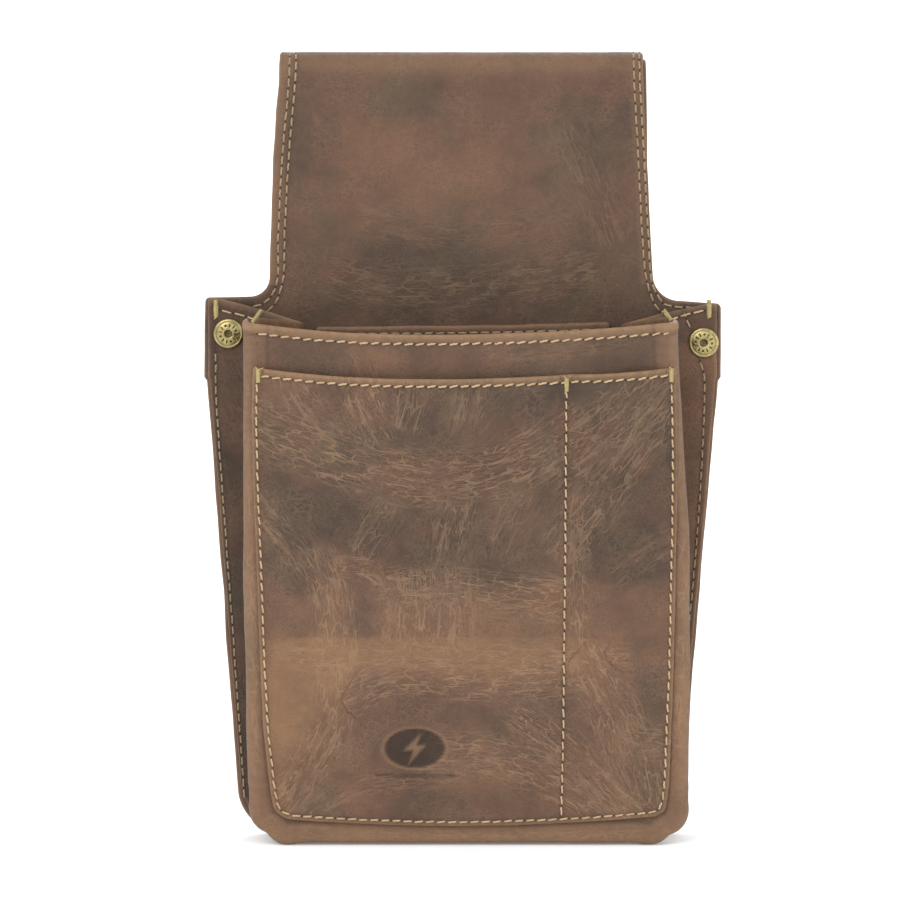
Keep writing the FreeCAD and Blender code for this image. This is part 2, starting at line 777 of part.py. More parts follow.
def gusset_hem_thread(side):
    """The hem row under the top edge of a gusset's flange."""
    name = "left" if side == LEFT else "right"
    drop = 2.2
    path = points(
        -size("soft_leather"),
        (side * (size("ear_half") - 6.5), size("gusset_top") - drop - 0.6),
        (side * (size("crease_half_top") + 1), size("gusset_crease_top") - drop + 0.3),
    )
    return thread(f"{name}_gusset_hem_stitching", stitches(path, TOWARDS_FRONT, size("stitch_pitch")))


def shoulder_tacks():
    """Bar tacks at the neck's foot and at the outer ends of the shoulders."""
    face = -size("soft_leather")
    blocks = []
    for side in (LEFT, RIGHT):
        outer = FreeCAD.Vector(side * (size("ear_half") - 1.7), face, size("ear_top") - 7.5)
        blocks.append(tack(outer, FreeCAD.Vector(0, 0, 1), TOWARDS_FRONT))
        inner = FreeCAD.Vector(side * (size("crease_half_top") + 2.2), face, size("gusset_crease_top") - 5.4)
        slant = FreeCAD.Vector(side * 0.5, 0, -1).normalize()
        blocks.append(tack(inner, slant, TOWARDS_FRONT))
    return thread("shoulder_bar_tacks", blocks)


def tail_thread():
    """Two rows across the loop's tail, seen from behind."""
    half = size("neck_top_half") - 5
    rear = 2 * size("leather")
    blocks = []
    for up in (size("tail_end") + 4, size("tail_join") - 5):
        blocks += stitches(points(rear, (-half, up), (half, up)), TOWARDS_REAR, size("neck_pitch"))
    return thread("loop_tail_stitching", blocks)


def inner_hem_thread():
    """The hem row under the mouth of the inner pocket."""
    half = size("inner_half") - size("inner_round")
    up = size("inner_top") - 2.2
    path = points(-size("inner_depth"), (-half, up), (half, up))
    return thread("inner_pocket_hem_stitching", stitches(path, TOWARDS_FRONT, size("stitch_pitch")))


def arc_points(half_left, half_right, top, sag, half, depth, count=8):
    """Points along an edge that hangs by sag, from left to right."""
    spots = []
    for n in range(count + 1):
        x = -half_left + (half_left + half_right) * n / count
        spots.append(FreeCAD.Vector(x, depth, top - sag * (1 - (x / half) ** 2)))
    return spots


def rim_thread():
    """The bright row under the rim of the pocket front."""
    half = size("front_half_top") - size("front_roll") - 0.5
    path = arc_points(half, half, size("front_tall") - 3, size("rim_sag"), size("front_half_top"), 0)
    return thread("rim_stitching", stitches(path, TOWARDS_FRONT, size("stitch_pitch")), True)


def patch_seam_line(side):
    """The seam point of a side of the patch at its bottom, swell and top."""
    inset = 1.8
    name = "left" if side == LEFT else "right"
    low = size(f"patch_low_{name}")
    wide = size(f"patch_{name}")
    bend = low + (wide - low) * 0.5
    return [
        (side * (low - inset), size("patch_low") + 3.2),
        (side * (bend - inset), size("patch_swell_low")),
        (side * (wide - inset), size("patch_top") - 5),
    ]


def patch_seam_thread():
    """The seam down both sides and along the bottom of the patch."""
    face = -size("soft_leather")
    left = list(reversed(patch_seam_line(LEFT)))
    right = patch_seam_line(RIGHT)
    path = points(face, *left, *right)
    pitch = size("stitch_pitch")
    return thread("patch_seam_stitching", stitches(path, TOWARDS_FRONT, pitch, 0.8), True)


def patch_divider_thread():
    """The upright seam that splits the patch into two sections."""
    x = size("divider")
    path = points(-size("soft_leather"), (x, size("patch_low") + 5), (x, size("patch_top") - 8))
    return thread("patch_divider_stitching", stitches(path, TOWARDS_FRONT, size("stitch_pitch")), True)


def patch_hem_thread():
    """The hem row under the patch's mouth, which rises and falls with its two sections."""
    thick = size("soft_leather")
    land = size("patch_land")
    slope = size("patch_slope")
    divider = size("divider")
    left = size("patch_left")
    right = size("patch_right")
    drop = 2.4
    up = size("patch_top") - size("patch_sag") - drop
    share = (up - size("patch_swell_low")) / (size("patch_top") - size("patch_swell_low"))
    rise = size("swell_low") + (size("swell_top") - size("swell_low")) * share
    out = -(thick + rise)
    plan = [
        (-left + land, -thick),
        (-left + land + slope, out),
        (divider - land / 2 - slope, out),
        (divider - land / 2, -thick),
        (divider + land / 2, -thick),
        (divider + land / 2 + slope * 0.6, out),
        (right - land - slope * 0.7, out),
        (right - land, -thick),
    ]
    lift = 0.12
    path = [FreeCAD.Vector(x, y - lift, up) for x, y in plan]
    blocks = []
    for n, (start, end) in enumerate(zip(path, path[1:])):
        if n != 3:
            blocks += stitches([start, end], TOWARDS_FRONT, size("stitch_pitch"), 1.2)
    return thread("patch_hem_stitching", blocks, True)


def patch_tacks():
    """Bar tacks at the two mouth corners of the patch and at the head of the divider."""
    up = FreeCAD.Vector(0, 0, 1)
    face = -size("soft_leather")
    high = size("patch_top") - 5
    blocks = [
        tack(FreeCAD.Vector(-size("patch_left") + 1.8, face, high + 1), up, TOWARDS_FRONT),
        tack(FreeCAD.Vector(size("patch_right") - 1.8, face, high + 1), up, TOWARDS_FRONT),
        tack(FreeCAD.Vector(size("divider"), face, high - 0.2), up, TOWARDS_FRONT),
    ]
    return thread("patch_bar_tacks", blocks, True)


# ---------------------------------------------------------------- the whole pouch


def build():
    made = [back_panel(), loop_lining(), inner_pocket(), pocket_bottom(), pocket_front(), patch_pocket()]
    for side in (LEFT, RIGHT):
        made.append(gusset(side))
        made.extend(rivet(side))
        made.append(neck_thread(side))
        made.append(side_seam_thread(side))
        made.append(gusset_hem_thread(side))
    made += [shoulder_tacks(), tail_thread(), inner_hem_thread()]
    made += [rim_thread(), patch_seam_thread(), patch_divider_thread(), patch_hem_thread(), patch_tacks()]
    return made


def check_and_write(pieces):
    """Refuse a failed object or a bad shape, then write one STEP file to a sub-part."""
    document.recompute()
    failed = [o.Name for o in document.Objects if {"Invalid", "Error"} & set(o.State)]
    if failed:
        raise RuntimeError(f"failed objects: {failed}")
    for piece in pieces:
        if piece.Shape.isNull() or not piece.Shape.isValid():
            raise RuntimeError(f"{piece.Label} has no valid shape")
    os.makedirs("parts", exist_ok=True)
    for piece in pieces:
        piece.Shape.exportStep(f"parts/{piece.Label}.step")
        print(f"{piece.Label}: {len(piece.Shape.Solids)} solids, {piece.Shape.Volume:.0f} mm3")


check_and_write(build())
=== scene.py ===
import math

import bpy
import numpy as np
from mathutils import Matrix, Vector, geometry


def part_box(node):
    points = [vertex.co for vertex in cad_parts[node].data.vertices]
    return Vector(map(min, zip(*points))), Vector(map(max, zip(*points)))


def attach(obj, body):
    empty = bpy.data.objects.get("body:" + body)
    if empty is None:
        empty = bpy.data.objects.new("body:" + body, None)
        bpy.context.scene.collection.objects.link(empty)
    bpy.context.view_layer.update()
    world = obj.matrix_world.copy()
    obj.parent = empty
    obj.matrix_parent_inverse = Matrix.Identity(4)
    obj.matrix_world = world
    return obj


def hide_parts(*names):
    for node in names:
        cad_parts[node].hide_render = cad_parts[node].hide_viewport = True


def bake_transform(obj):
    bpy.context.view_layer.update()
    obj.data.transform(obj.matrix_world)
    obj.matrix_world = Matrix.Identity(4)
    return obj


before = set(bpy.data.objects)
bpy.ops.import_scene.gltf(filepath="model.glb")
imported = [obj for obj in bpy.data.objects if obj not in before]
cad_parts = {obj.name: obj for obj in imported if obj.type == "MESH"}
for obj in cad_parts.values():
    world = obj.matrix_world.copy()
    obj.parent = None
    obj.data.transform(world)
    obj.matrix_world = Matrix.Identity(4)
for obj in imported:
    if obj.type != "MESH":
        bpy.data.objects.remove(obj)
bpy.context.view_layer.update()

# Leather tool pouch for an electrician's belt.
#
# Lengths below are in millimetres in the drawing frame: X to the right as the pouch is
# looked at, y = 0 on the front surface of the back panel, the pocket towards -Y, and
# z = 0 at the pouch's bottom. to_frame() turns them into metres in the part's frame.
# Each leather piece is a Sheet: an outline cut flat in (u, v), and a bend() that gives
# the middle of its thickness in the drawing frame. Thread follows the sheets' skins.

MM = 0.001
SEED = 41
FINE = 1.0


def corners(node):
    """Lowest and highest corner of a CAD node, in drawing millimetres."""
    low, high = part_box(node)
    return np.array(low) / MM - BASE, np.array(high) / MM - BASE


def to_frame(spots):
    return (np.asarray(spots) + BASE) * MM


PANEL_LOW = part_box("back_panel")[0]
BASE = np.array([0.0, PANEL_LOW.y, PANEL_LOW.z]) / MM

# thickness of the body leather, of the patch and gussets, and of the lining
LEATHER = float(np.ptp([c[2] for c in corners("pocket_bottom")]))
SOFT = 1.8
LINING = 1.4
EAR_HALF = float(corners("back_panel")[1][0])
TOTAL_HEIGHT = float(corners("back_panel")[1][2])
LOOP_DEPTH = float(corners("back_panel")[1][1])
FRONT_TALL = float(corners("pocket_front")[1][2])
FRONT_LEAN = math.radians(1.8)
BOTTOM_DEPTH = 26.5
PATCH_TOP = float(corners("patch_pocket")[1][2])


# ------------------------------------------------------------------ numbers


CHUNK = 4000


def points(*parts):
    """Coordinates side by side, one row for each point."""
    return np.stack(parts, 1)


def unit(vector):
    return vector / np.linalg.norm(vector)


def smooth(t):
    t = np.clip(t, 0.0, 1.0)
    return t * t * (3 - 2 * t)


def bell(distance, width):
    return np.exp(-((distance / width) ** 2))


def scramble(ix, iy, seed):
    """A repeatable number from 0 to 1 for each lattice corner."""
    mixed = (ix * 73856093) ^ (iy * 19349663) ^ (seed * 83492791)
    mixed = (mixed ^ (mixed >> 13)) * 1274126177
    mixed = mixed ^ (mixed >> 16)
    return (mixed & 0xFFFFFF) / float(0xFFFFFF)


def noise(u, v, size, seed):
    """Smooth noise from -1 to 1 whose lumps are about this size."""
    x = np.asarray(u, float) / size + 1000.0
    y = np.asarray(v, float) / size + 1000.0
    ix = np.floor(x).astype(np.int64)
    iy = np.floor(y).astype(np.int64)
    fx = smooth(x - ix)
    fy = smooth(y - iy)
    low = scramble(ix, iy, seed) * (1 - fx) + scramble(ix + 1, iy, seed) * fx
    high = scramble(ix, iy + 1, seed) * (1 - fx) + scramble(ix + 1, iy + 1, seed) * fx
    return 2 * (low * (1 - fy) + high * fy) - 1


def layered(u, v, size, seed, layers=3):
    total = 0.0
    for k in range(layers):
        total = total + noise(u, v, size / 2**k, seed + 17 * k) * 0.5**k
    return total


def curve(spots, count=24):
    """A smooth line of count + 1 points through a few spots."""
    p = np.array(spots, float)
    p = np.vstack([2 * p[0] - p[1], p, 2 * p[-1] - p[-2]])
    t = np.linspace(0, len(p) - 3, count + 1)
    i = np.minimum(t.astype(int), len(p) - 4)
    f = (t - i)[:, None]
    a, b, c, d = p[i], p[i + 1], p[i + 2], p[i + 3]
    return 0.5 * (2 * b + (c - a) * f + (2 * a - 5 * b + 4 * c - d) * f**2 + (3 * b - a - 3 * c + d) * f**3)


def along_line(line):
    """Length run at each point of a line."""
    return np.concatenate([[0.0], np.cumsum(np.linalg.norm(np.diff(line, axis=0), axis=1))])


def even(line, step):
    """The line's points again, about this far apart."""
    run = along_line(line)
    count = max(2, int(round(run[-1] / step)) + 1)
    at = np.linspace(0, run[-1], count)
    return points(*(np.interp(at, run, line[:, k]) for k in range(line.shape[1])))


def nearest(u, v, line, closed=False):
    """For each (u, v): distance to the line, run along it, side (+1 on its left) and the closest point."""
    spots = points(np.ravel(u), np.ravel(v))
    line = np.asarray(line, float)
    ends = np.roll(line, -1, 0) if closed else line[1:]
    starts = line if closed else line[:-1]
    step = ends - starts
    size2 = np.maximum((step**2).sum(1), 1e-12)
    length = np.sqrt(size2)
    run = np.concatenate([[0.0], np.cumsum(length)])[:-1]
    best = np.zeros((len(spots), 5))
    for k in range(0, len(spots), CHUNK):
        part = spots[k : k + CHUNK]
        ax = part[:, :1] - starts[:, 0]
        ay = part[:, 1:] - starts[:, 1]
        t = np.clip((ax * step[:, 0] + ay * step[:, 1]) / size2, 0, 1)
        dx = ax - t * step[:, 0]
        dy = ay - t * step[:, 1]
        gap = dx * dx + dy * dy
        at = gap.argmin(1)
        row = np.arange(len(part))
        t = t[row, at]
        left = step[at, 0] * ay[row, at] - step[at, 1] * ax[row, at]
        best[k : k + CHUNK] = np.stack(
            [
                np.sqrt(gap[row, at]),
                run[at] + t * length[at],
                np.where(left >= 0, 1.0, -1.0),
                starts[at, 0] + t * step[at, 0],
                starts[at, 1] + t * step[at, 1],
            ],
            1,
        )
    return best.T


def inside(spots, loop):
    """True for the spots within a closed loop."""
    ends = np.roll(loop, -1, 0)
    found = np.zeros(len(spots), bool)
    for k in range(0, len(spots), CHUNK):
        x, y = spots[k : k + CHUNK, :1], spots[k : k + CHUNK, 1:]
        crosses = (loop[:, 1] > y) != (ends[:, 1] > y)
        rise = np.where(ends[:, 1] == loop[:, 1], 1e-12, ends[:, 1] - loop[:, 1])
        reach = loop[:, 0] + (y - loop[:, 1]) * (ends[:, 0] - loop[:, 0]) / rise
        found[k : k + CHUNK] = ((crosses & (x < reach)).sum(1) % 2) == 1
    return found


def rounded(places, step=0.8):
    """A closed counter-clockwise loop through (x, y, radius) corners, each with its rounding."""
    loop = []
    count = len(places)
    for i in range(count):
        before = np.array(places[i - 1][:2], float)
        here = np.array(places[i][:2], float)
        after = np.array(places[(i + 1) % count][:2], float)
        radius = places[i][2]
        a = unit(before - here)
        b = unit(after - here)
        half = math.acos(float(np.clip(a @ b, -1, 1))) / 2
        if radius <= 0 or half > 1.55:
            loop.append(here)
            continue
        middle = here + unit(a + b) * radius / math.sin(half)
        start = here + a * radius / math.tan(half) - middle
        end = here + b * radius / math.tan(half) - middle
        turn = math.atan2(start[0] * end[1] - start[1] * end[0], start @ end)
        for k in np.linspace(0, 1, max(4, int(abs(turn) * radius / step * 1.6) + 2)):
            c, s = math.cos(turn * k), math.sin(turn * k)
            loop.append(middle + [start[0] * c - start[1] * s, start[0] * s + start[1] * c])
    return dense(np.array(loop), step)


def dense(loop, step):
    """A closed loop with points added so that none are further apart than step."""
    made = []
    for here, after in zip(loop, np.roll(loop, -1, 0)):
        gap = np.linalg.norm(after - here)
        if gap < 1e-6:
            continue
        for k in range(max(1, math.ceil(gap / step))):
            made.append(here + (after - here) * k / max(1, math.ceil(gap / step)))
    return np.array(made)


def inward(loop):
    """Unit vectors into a counter-clockwise loop at its points."""
    ahead = np.roll(loop, -1, 0) - np.roll(loop, 1, 0)
    into = points(-ahead[:, 1], ahead[:, 0])
    return into / np.maximum(np.linalg.norm(into, axis=1, keepdims=True), 1e-9)


def leftward(line):
    """Unit vectors to the left of an open line at its points."""
    ahead = np.gradient(line, axis=0)
    left = points(-ahead[:, 1], ahead[:, 0])
    return left / np.linalg.norm(left, axis=1, keepdims=True)


def hand_cut(loop, seed, depth=0.22, size=16.0):
    """The loop with the slight waver of an edge cut by hand."""
    waver = layered(loop[:, 0], loop[:, 1], size, seed, 2) * depth
    return loop + inward(loop) * waver[:, None]


def fill(loop, pitch, rings):
    """Points and triangles that fill a loop, with rows of points close inside its edge."""
    rows = [loop]
    into = inward(loop)
    for depth in rings:
        row = loop + into * depth
        gap = nearest(row[:, 0], row[:, 1], loop, True)[0]
        rows.append(row[(gap > 0.94 * depth) & inside(row, loop)])
    low, high = loop.min(0), loop.max(0)
    tall = pitch * math.sqrt(3) / 2
    ys = np.arange(low[1], high[1], tall)
    xs = np.arange(low[0], high[0] + pitch, pitch)
    gx, gy = np.meshgrid(xs, ys)
    gx = gx + (np.arange(len(ys)) % 2)[:, None] * pitch / 2
    grid = points(gx.ravel(), gy.ravel())
    grid = grid[inside(grid, loop)]
    gap = nearest(grid[:, 0], grid[:, 1], loop, True)[0]
    grid = grid[gap > rings[-1] + 0.55 * pitch]
    spots = np.vstack(rows + [grid])
    bounds = [(i, (i + 1) % len(loop)) for i in range(len(loop))]
    made = geometry.delaunay_2d_cdt([Vector(p) for p in spots.tolist()], bounds, [], 1, 1e-5)
    return np.array([tuple(p) for p in made[0]]), np.array([list(f) for f in made[2]])


# ------------------------------------------------------------------ leather sheets


class Strand:
    """A run of wrinkles along a curve: it fades away to the sides over its width, and at both ends."""

    def __init__(self, spots, width, strength, layer=0):
        self.line = curve(spots, 20)
        self.long = along_line(self.line)[-1]
        self.fade = min(9.0, self.long / 4)
        self.width = width
        self.strength = strength
        self.layer = layer

    def at(self, u, v):
        gap, run, side, _, _ = nearest(u, v, self.line)
        ends = smooth(run / self.fade) * smooth((self.long - run) / self.fade)
        return run, gap * side, self.strength * bell(gap, 1.25 * self.width) * ends


class Sheet:
    """A piece of leather: a flat outline, the surface it is bent to, and its grain side's relief."""

    def __init__(self, name, loop, bend, thick, pitch=0.75, flip=1, relief=None, strands=(), edge_soft=0.5):
        self.name = name
        self.loop = loop
        self.bend = bend
        self.thick = thick
        self.flip = flip
        self.relief = relief
        self.strands = strands
        self.edge_soft = edge_soft
        radius = thick * edge_soft
        pitch = pitch * FINE
        self.spots, self.tris = fill(loop, pitch, [radius * k for k in (0.08, 0.3, 0.65, 1.1)])
        self.u, self.v = self.spots.T
        self.edge = nearest(self.u, self.v, loop, True)[0]

    def normal(self, u, v):
        h = 0.04
        across = self.bend(u + h, v) - self.bend(u - h, v)
        upward = self.bend(u, v + h) - self.bend(u, v - h)
        out = np.cross(across, upward) * self.flip
        return out / np.maximum(np.linalg.norm(out, axis=1, keepdims=True), 1e-12)

    def skin(self, u, v, side=1, edge=None):
        """Points of the grain side (side 1) or the flesh side (-1), and which way it faces."""
        u = np.asarray(u, float)
        v = np.asarray(v, float)
        if edge is None:
            edge = nearest(u, v, self.loop, True)[0]
        short = 1 - np.minimum(edge / (self.thick * self.edge_soft), 1)
        half = self.thick / 2 * np.sqrt(np.maximum(1 - short**2, 0))
        out = self.normal(u, v)
        lift = side * half
        if side == 1 and self.relief is not None:
            lift = lift + self.relief(u, v) * smooth(edge / 1.2)
        return self.bend(u, v) + out * lift[:, None], out * side

    def flows(self, u, v):
        """Wrinkle layers: for each, (run along, distance across, strength) of its strongest strand."""
        layers = [np.zeros((len(u), 3)) for _ in range(3)]
        for strand in self.strands:
            run, across, mask = strand.at(u, v)
            layer = layers[strand.layer]
            better = mask > layer[:, 2]
            layer[better] = points(run, across, mask)[better]
        return layers

    def build(self, material, paint):
        """The closed mesh object, with the values its material reads stored on its points."""
        rim = self.edge < 1e-3
        count = len(self.u)
        front = self.skin(self.u, self.v, 1, self.edge)[0]
        rear = self.skin(self.u, self.v, -1, self.edge)[0]
        rear_index = np.arange(count)
        rear_index[~rim] = count + np.arange((~rim).sum())
        tris = self.tris[~rim[self.tris].all(1)]
        if self.flip == -1:
            tris = tris[:, ::-1]
        faces = np.vstack([tris, rear_index[tris][:, ::-1]])
        spots = np.vstack([front, rear[~rim]])
        flesh = np.concatenate([np.zeros(count), np.ones((~rim).sum())])
        u = np.concatenate([self.u, self.u[~rim]])
        v = np.concatenate([self.v, self.v[~rim]])
        edge = np.concatenate([self.edge, self.edge[~rim]])
        made = make_object(self.name, spots, faces, [material])
        values = {key: np.zeros(len(u)) for key in ("wear_and_highlight", "tone", "warm", "shade")}
        values["flesh"] = flesh
        values.update(paint(u, v, edge))
        for k, layer in enumerate(self.flows(u, v)):
            store(made, f"flow{k}", layer)
        for key, value in values.items():
            store(made, key, value)
        store(made, "flat", points(u, v, flesh * 9.0))
        return made


def store(made, key, value):
    """Writes one value for each point of a mesh under a name."""
    value = np.asarray(value, np.float32)
    kind = "FLOAT_VECTOR" if value.ndim == 2 else "FLOAT"
    field = made.data.attributes.new(key, kind, "POINT")
    field.data.foreach_set("vector" if value.ndim == 2 else "value", value.ravel())


def make_object(name, spots, faces, materials, which=None):
    """A smooth-shaded mesh object from drawing-frame points."""
    mesh = bpy.data.meshes.new(name)
    mesh.from_pydata(to_frame(spots).tolist(), [], [list(f) for f in faces])
    for material in materials:
        mesh.materials.append(material)
    if which is not None:
        mesh.polygons.foreach_set("material_index", np.asarray(which, np.int32))
    mesh.polygons.foreach_set("use_smooth", np.ones(len(mesh.polygons), bool))
    mesh.update()
    made = bpy.data.objects.new(name, mesh)
    bpy.context.scene.collection.objects.link(made)
    return made


# ------------------------------------------------------------------ the shapes

FOLD_R = LOOP_DEPTH / 2
FOLD_UP = TOTAL_HEIGHT - FOLD_R
FOLD_RUN = math.pi * (FOLD_R - LEATHER / 2)
FOLD_OVER = FOLD_UP + FOLD_RUN
TAIL_JOIN, TAIL_TURN, TAIL_END = 166.0, 192.0, 148.0
TAIL_FOOT = FOLD_OVER + FOLD_UP - TAIL_END
SHOULDER = 177.8
WAIST = 150.0
FOLD_SAG = 0.9


def strip_bend(inset):
    """The bend of a strip that runs up the neck, over the fold and down, inset from the outer skin."""
    radius = FOLD_R - inset
    run = math.pi * radius

    def bend(u, v):
        turn = np.clip((v - FOLD_UP) / run, 0, 1) * math.pi
        down = np.maximum(v - FOLD_UP - run, 0)
        y = FOLD_R - radius * np.cos(turn)
        z = np.minimum(v, FOLD_UP) + (radius - FOLD_SAG) * np.sin(turn) - down
        rear = np.where(v > FOLD_UP + run, 1.0, 0.0)
        tuck = smooth((TAIL_TURN - z) / (TAIL_TURN - TAIL_JOIN)) * rear
        y = y - tuck * (LOOP_DEPTH - 2 * inset - LEATHER - 0.15)
        soft = smooth((z - 185) / 30) * (1 - rear) + rear * (1 - tuck)
        y = y + soft * noise(u, v, 34, 5) * 0.45 + panel_waver(u, z) * (1 - soft)
        return points(u, y, z)

    return bend


def panel_waver(x, z):
    return noise(x, z, 55, 9) * 0.15


def panel_sheet():
    """Back, ears, neck, fold and tail in one piece."""
    loop = rounded(
        [
            (-73, 0, 15), (73, 0, 8), (75.2, 46, 0), (84, WAIST, 0.8), (EAR_HALF, WAIST + 1.2, 0.8),
            (EAR_HALF, SHOULDER - 2.2, 1.8), (63, SHOULDER - 0.9, 8.5), (59.2, FOLD_UP, 0),
            (59.2, FOLD_OVER, 0), (59.2, TAIL_FOOT, 4), (-59.4, TAIL_FOOT, 4), (-60.0, FOLD_OVER, 0),
            (-60.1, FOLD_UP, 0), (-61.3, FOLD_UP - 12, 0), (-62.4, FOLD_UP - 32, 0),
            (-63.4, SHOULDER + 0.2, 6.5), (-EAR_HALF + 0.2, SHOULDER, 1.8),
            (-EAR_HALF, WAIST + 1.2, 0.8), (-84, WAIST, 0.8),
        ]
    )
    rows = neck_rows()

    def relief(u, v):
        return layered(u, v, 9, 31, 3) * 0.05 - seams(u, v, rows, 0.16, 0.9)

    strands = [
        Strand([(-50, 186), (-20, 181), (20, 183), (50, 190)], 9, 0.55, 0),
        Strand([(-40, 205), (0, 198), (45, 206)], 8, 0.4, 1),
        Strand([(30, 240), (42, 215), (52, 190)], 10, 0.45, 2),
        Strand([(-62, 20), (-66, 80), (-74, 140)], 8, 0.5, 0),
        Strand([(62, 20), (66, 80), (74, 140)], 8, 0.5, 0),
        Strand([(-50, FOLD_OVER + 30), (0, FOLD_OVER + 36), (50, FOLD_OVER + 28)], 10, 0.6, 1),
        Strand([(-30, 60), (0, 90), (34, 120)], 14, 0.3, 1),
    ]
    bend = strip_bend(LEATHER / 2)
    return Sheet("back_panel_leather", hand_cut(loop, 3), bend, LEATHER, 1.2, relief=relief, strands=strands)


def seams(u, v, rows, depth=0.34, width=0.8):
    """A soft band along each sewn row: its depth on the row, fading over the width."""
    return sum(depth * bell(nearest(u, v, row)[0], width) for row in rows)


def turned_rim(below, deep, soft, high):
    """The step of a mouth's turned edge, at a distance below it."""
    return high * smooth((deep - below) / soft) * smooth((below + 0.2) / 0.8)


def neck_row(side, outer):
    """One of the two rows beside a neck edge, in flat (u, v), from the shoulder over the fold to the tail."""
    inset = (2.9 if side < 0 else 1.7) if outer else (5.0 if side < 0 else 3.6)
    bulge = 0.8 if side < 0 else 0.0
    if outer:
        foot = [(76.5 + inset, -3.6), (68 + inset, -3.0), (66.4, -0.6)]
    else:
        foot = [(67.5 + inset, -7.5), (66.3, -1.8)]
    rise = [(63.6, 6.0 if outer else 8.0), (62.6 + bulge, 20), (61.2 + bulge, 46)]
    places = [(x, SHOULDER + up) for x, up in foot + rise]
    places += [(59.7, FOLD_UP), (59.7, FOLD_OVER), (59.6, TAIL_FOOT - 3.5)]
    return even(curve([(side * (x - inset), up) for x, up in places], 160), 1.2)


def neck_rows():
    return [neck_row(side, outer) for side in (-1, 1) for outer in (True, False)]


def lining_sheet():
    """Second layer inside the neck and the fold."""
    inset = LEATHER + LINING / 2 + 0.05
    top = FOLD_UP + math.pi * (FOLD_R - inset) + FOLD_UP - 197
    half = 59.2
    loop = rounded([(-half - 2.2, 177, 3), (half + 2.2, 177, 3), (half, top, 3), (-half, top, 3)], 1.2)
    return Sheet("loop_lining_suede", hand_cut(loop, 7), strip_bend(inset), LINING, 1.8)


# ---- the pocket front, which leans

LEFT_EDGE = [(0, 69.6), (14, 70.2), (40, 71.0), (90, 71.6), (173, 71.6), (200, 71.4)]
RIGHT_EDGE = [
    (0, 73.6), (14, 74.0), (48, 74.4), (94, 74.5), (105, 74.1), (119, 73.1), (141, 71.7), (160, 70.6), (200, 69.0),
]
ROLL = 4.0
RETURN = 9.0


def lean(x, y, z):
    """From the front's own frame to the drawing frame."""
    c, s = math.cos(FRONT_LEAN), math.sin(FRONT_LEAN)
    return points(x, -BOTTOM_DEPTH + y * c - z * s, z * c + y * s)


def face_waver(x, z):
    """How far the front's face stands out of flat: a slight belly low down and soft dents."""
    belly = 0.9 * bell(z - 70, 60) * smooth((68 - np.abs(x)) / 30)
    return -belly - layered(x, z, 42, 77, 2) * 0.35 * smooth((70 - np.abs(x)) / 12)


def edge_at(edge, z):
    """Distance from the middle at a height, from a list of (height, distance)."""
    return np.interp(z, *zip(*edge))


def front_spine():
    """Where the front's flat face starts to roll back: down the left, round the bottom, up the right."""
    ups = np.linspace(200, 20, 46)
    left = points(ROLL - edge_at(LEFT_EDGE, ups), ups)
    right = points(edge_at(RIGHT_EDGE, ups[::-1]) - ROLL, ups[::-1])
    foot = rounded([(-66.2, 20, 0), (-65.4, ROLL, 9.5), (69.6, ROLL, 8.5), (70.2, 20, 0)], 0.8)
    foot = foot[foot[:, 1] < 19.5]
    order = np.argsort(np.arctan2(foot[:, 0], 60 - foot[:, 1]))
    line = even(np.vstack([left, foot[order], right]), 1.0)
    run = along_line(line)
    into = leftward(line)
    # the pinched bottom corners: a notch between two soft lumps on each
    for spot in ((-62.0, 5.6), (66.6, 5.4)):
        middle = run[((line - spot) ** 2).sum(1).argmin()]
        beside = bell(run - middle + 5, 3.2) + bell(run - middle - 5, 3.2)
        line = line + into * (0.9 * bell(run - middle, 2.0) - 0.7 * beside)[:, None]
    return line


SPINE = front_spine()
ROLL_MID = ROLL - LEATHER / 2
ROLL_RUN = ROLL_MID * math.pi / 2
SKIRT = ROLL_RUN + RETURN - ROLL


def rim_height(x):
    """The sagging top edge of the pocket front, in its own frame."""
    reach = np.where(x < -12, 61.0, 84.0)
    return FRONT_TALL - 4.3 * np.clip(1 - ((x + 12) / reach) ** 2, 0, 1)


def past_spine(u, v):
    """Distance beyond the spine, negative on the flat face; the run along it; and its closest point."""
    gap, run, side, cx, cy = nearest(u, v, SPINE)
    return gap * np.where(side < 0, 1.0, -1.0), run, cx, cy


def front_bend(u, v):
    out, run, cx, cy = past_spine(u, v)
    turn = np.clip(out / ROLL_MID, 0, math.pi / 2)
    beyond = np.maximum(out - ROLL_RUN, 0)
    reach = ROLL_MID * np.sin(turn)
    safe = np.maximum(np.abs(out), 1e-6)
    x = np.where(out > 0, cx + (u - cx) / safe * reach, u)
    z = np.where(out > 0, cy + (v - cy) / safe * reach, v)
    y = LEATHER / 2 + ROLL_MID * (1 - np.cos(turn)) + beyond
    loose = smooth((150 - v) / 60) * smooth((v - 20) / 30)
    x = x + noise(v, run * 0, 28, 21) * 0.35 * smooth(out / 4) * loose
    return lean(x, y + face_waver(u, v) * smooth(-out / 10), z)


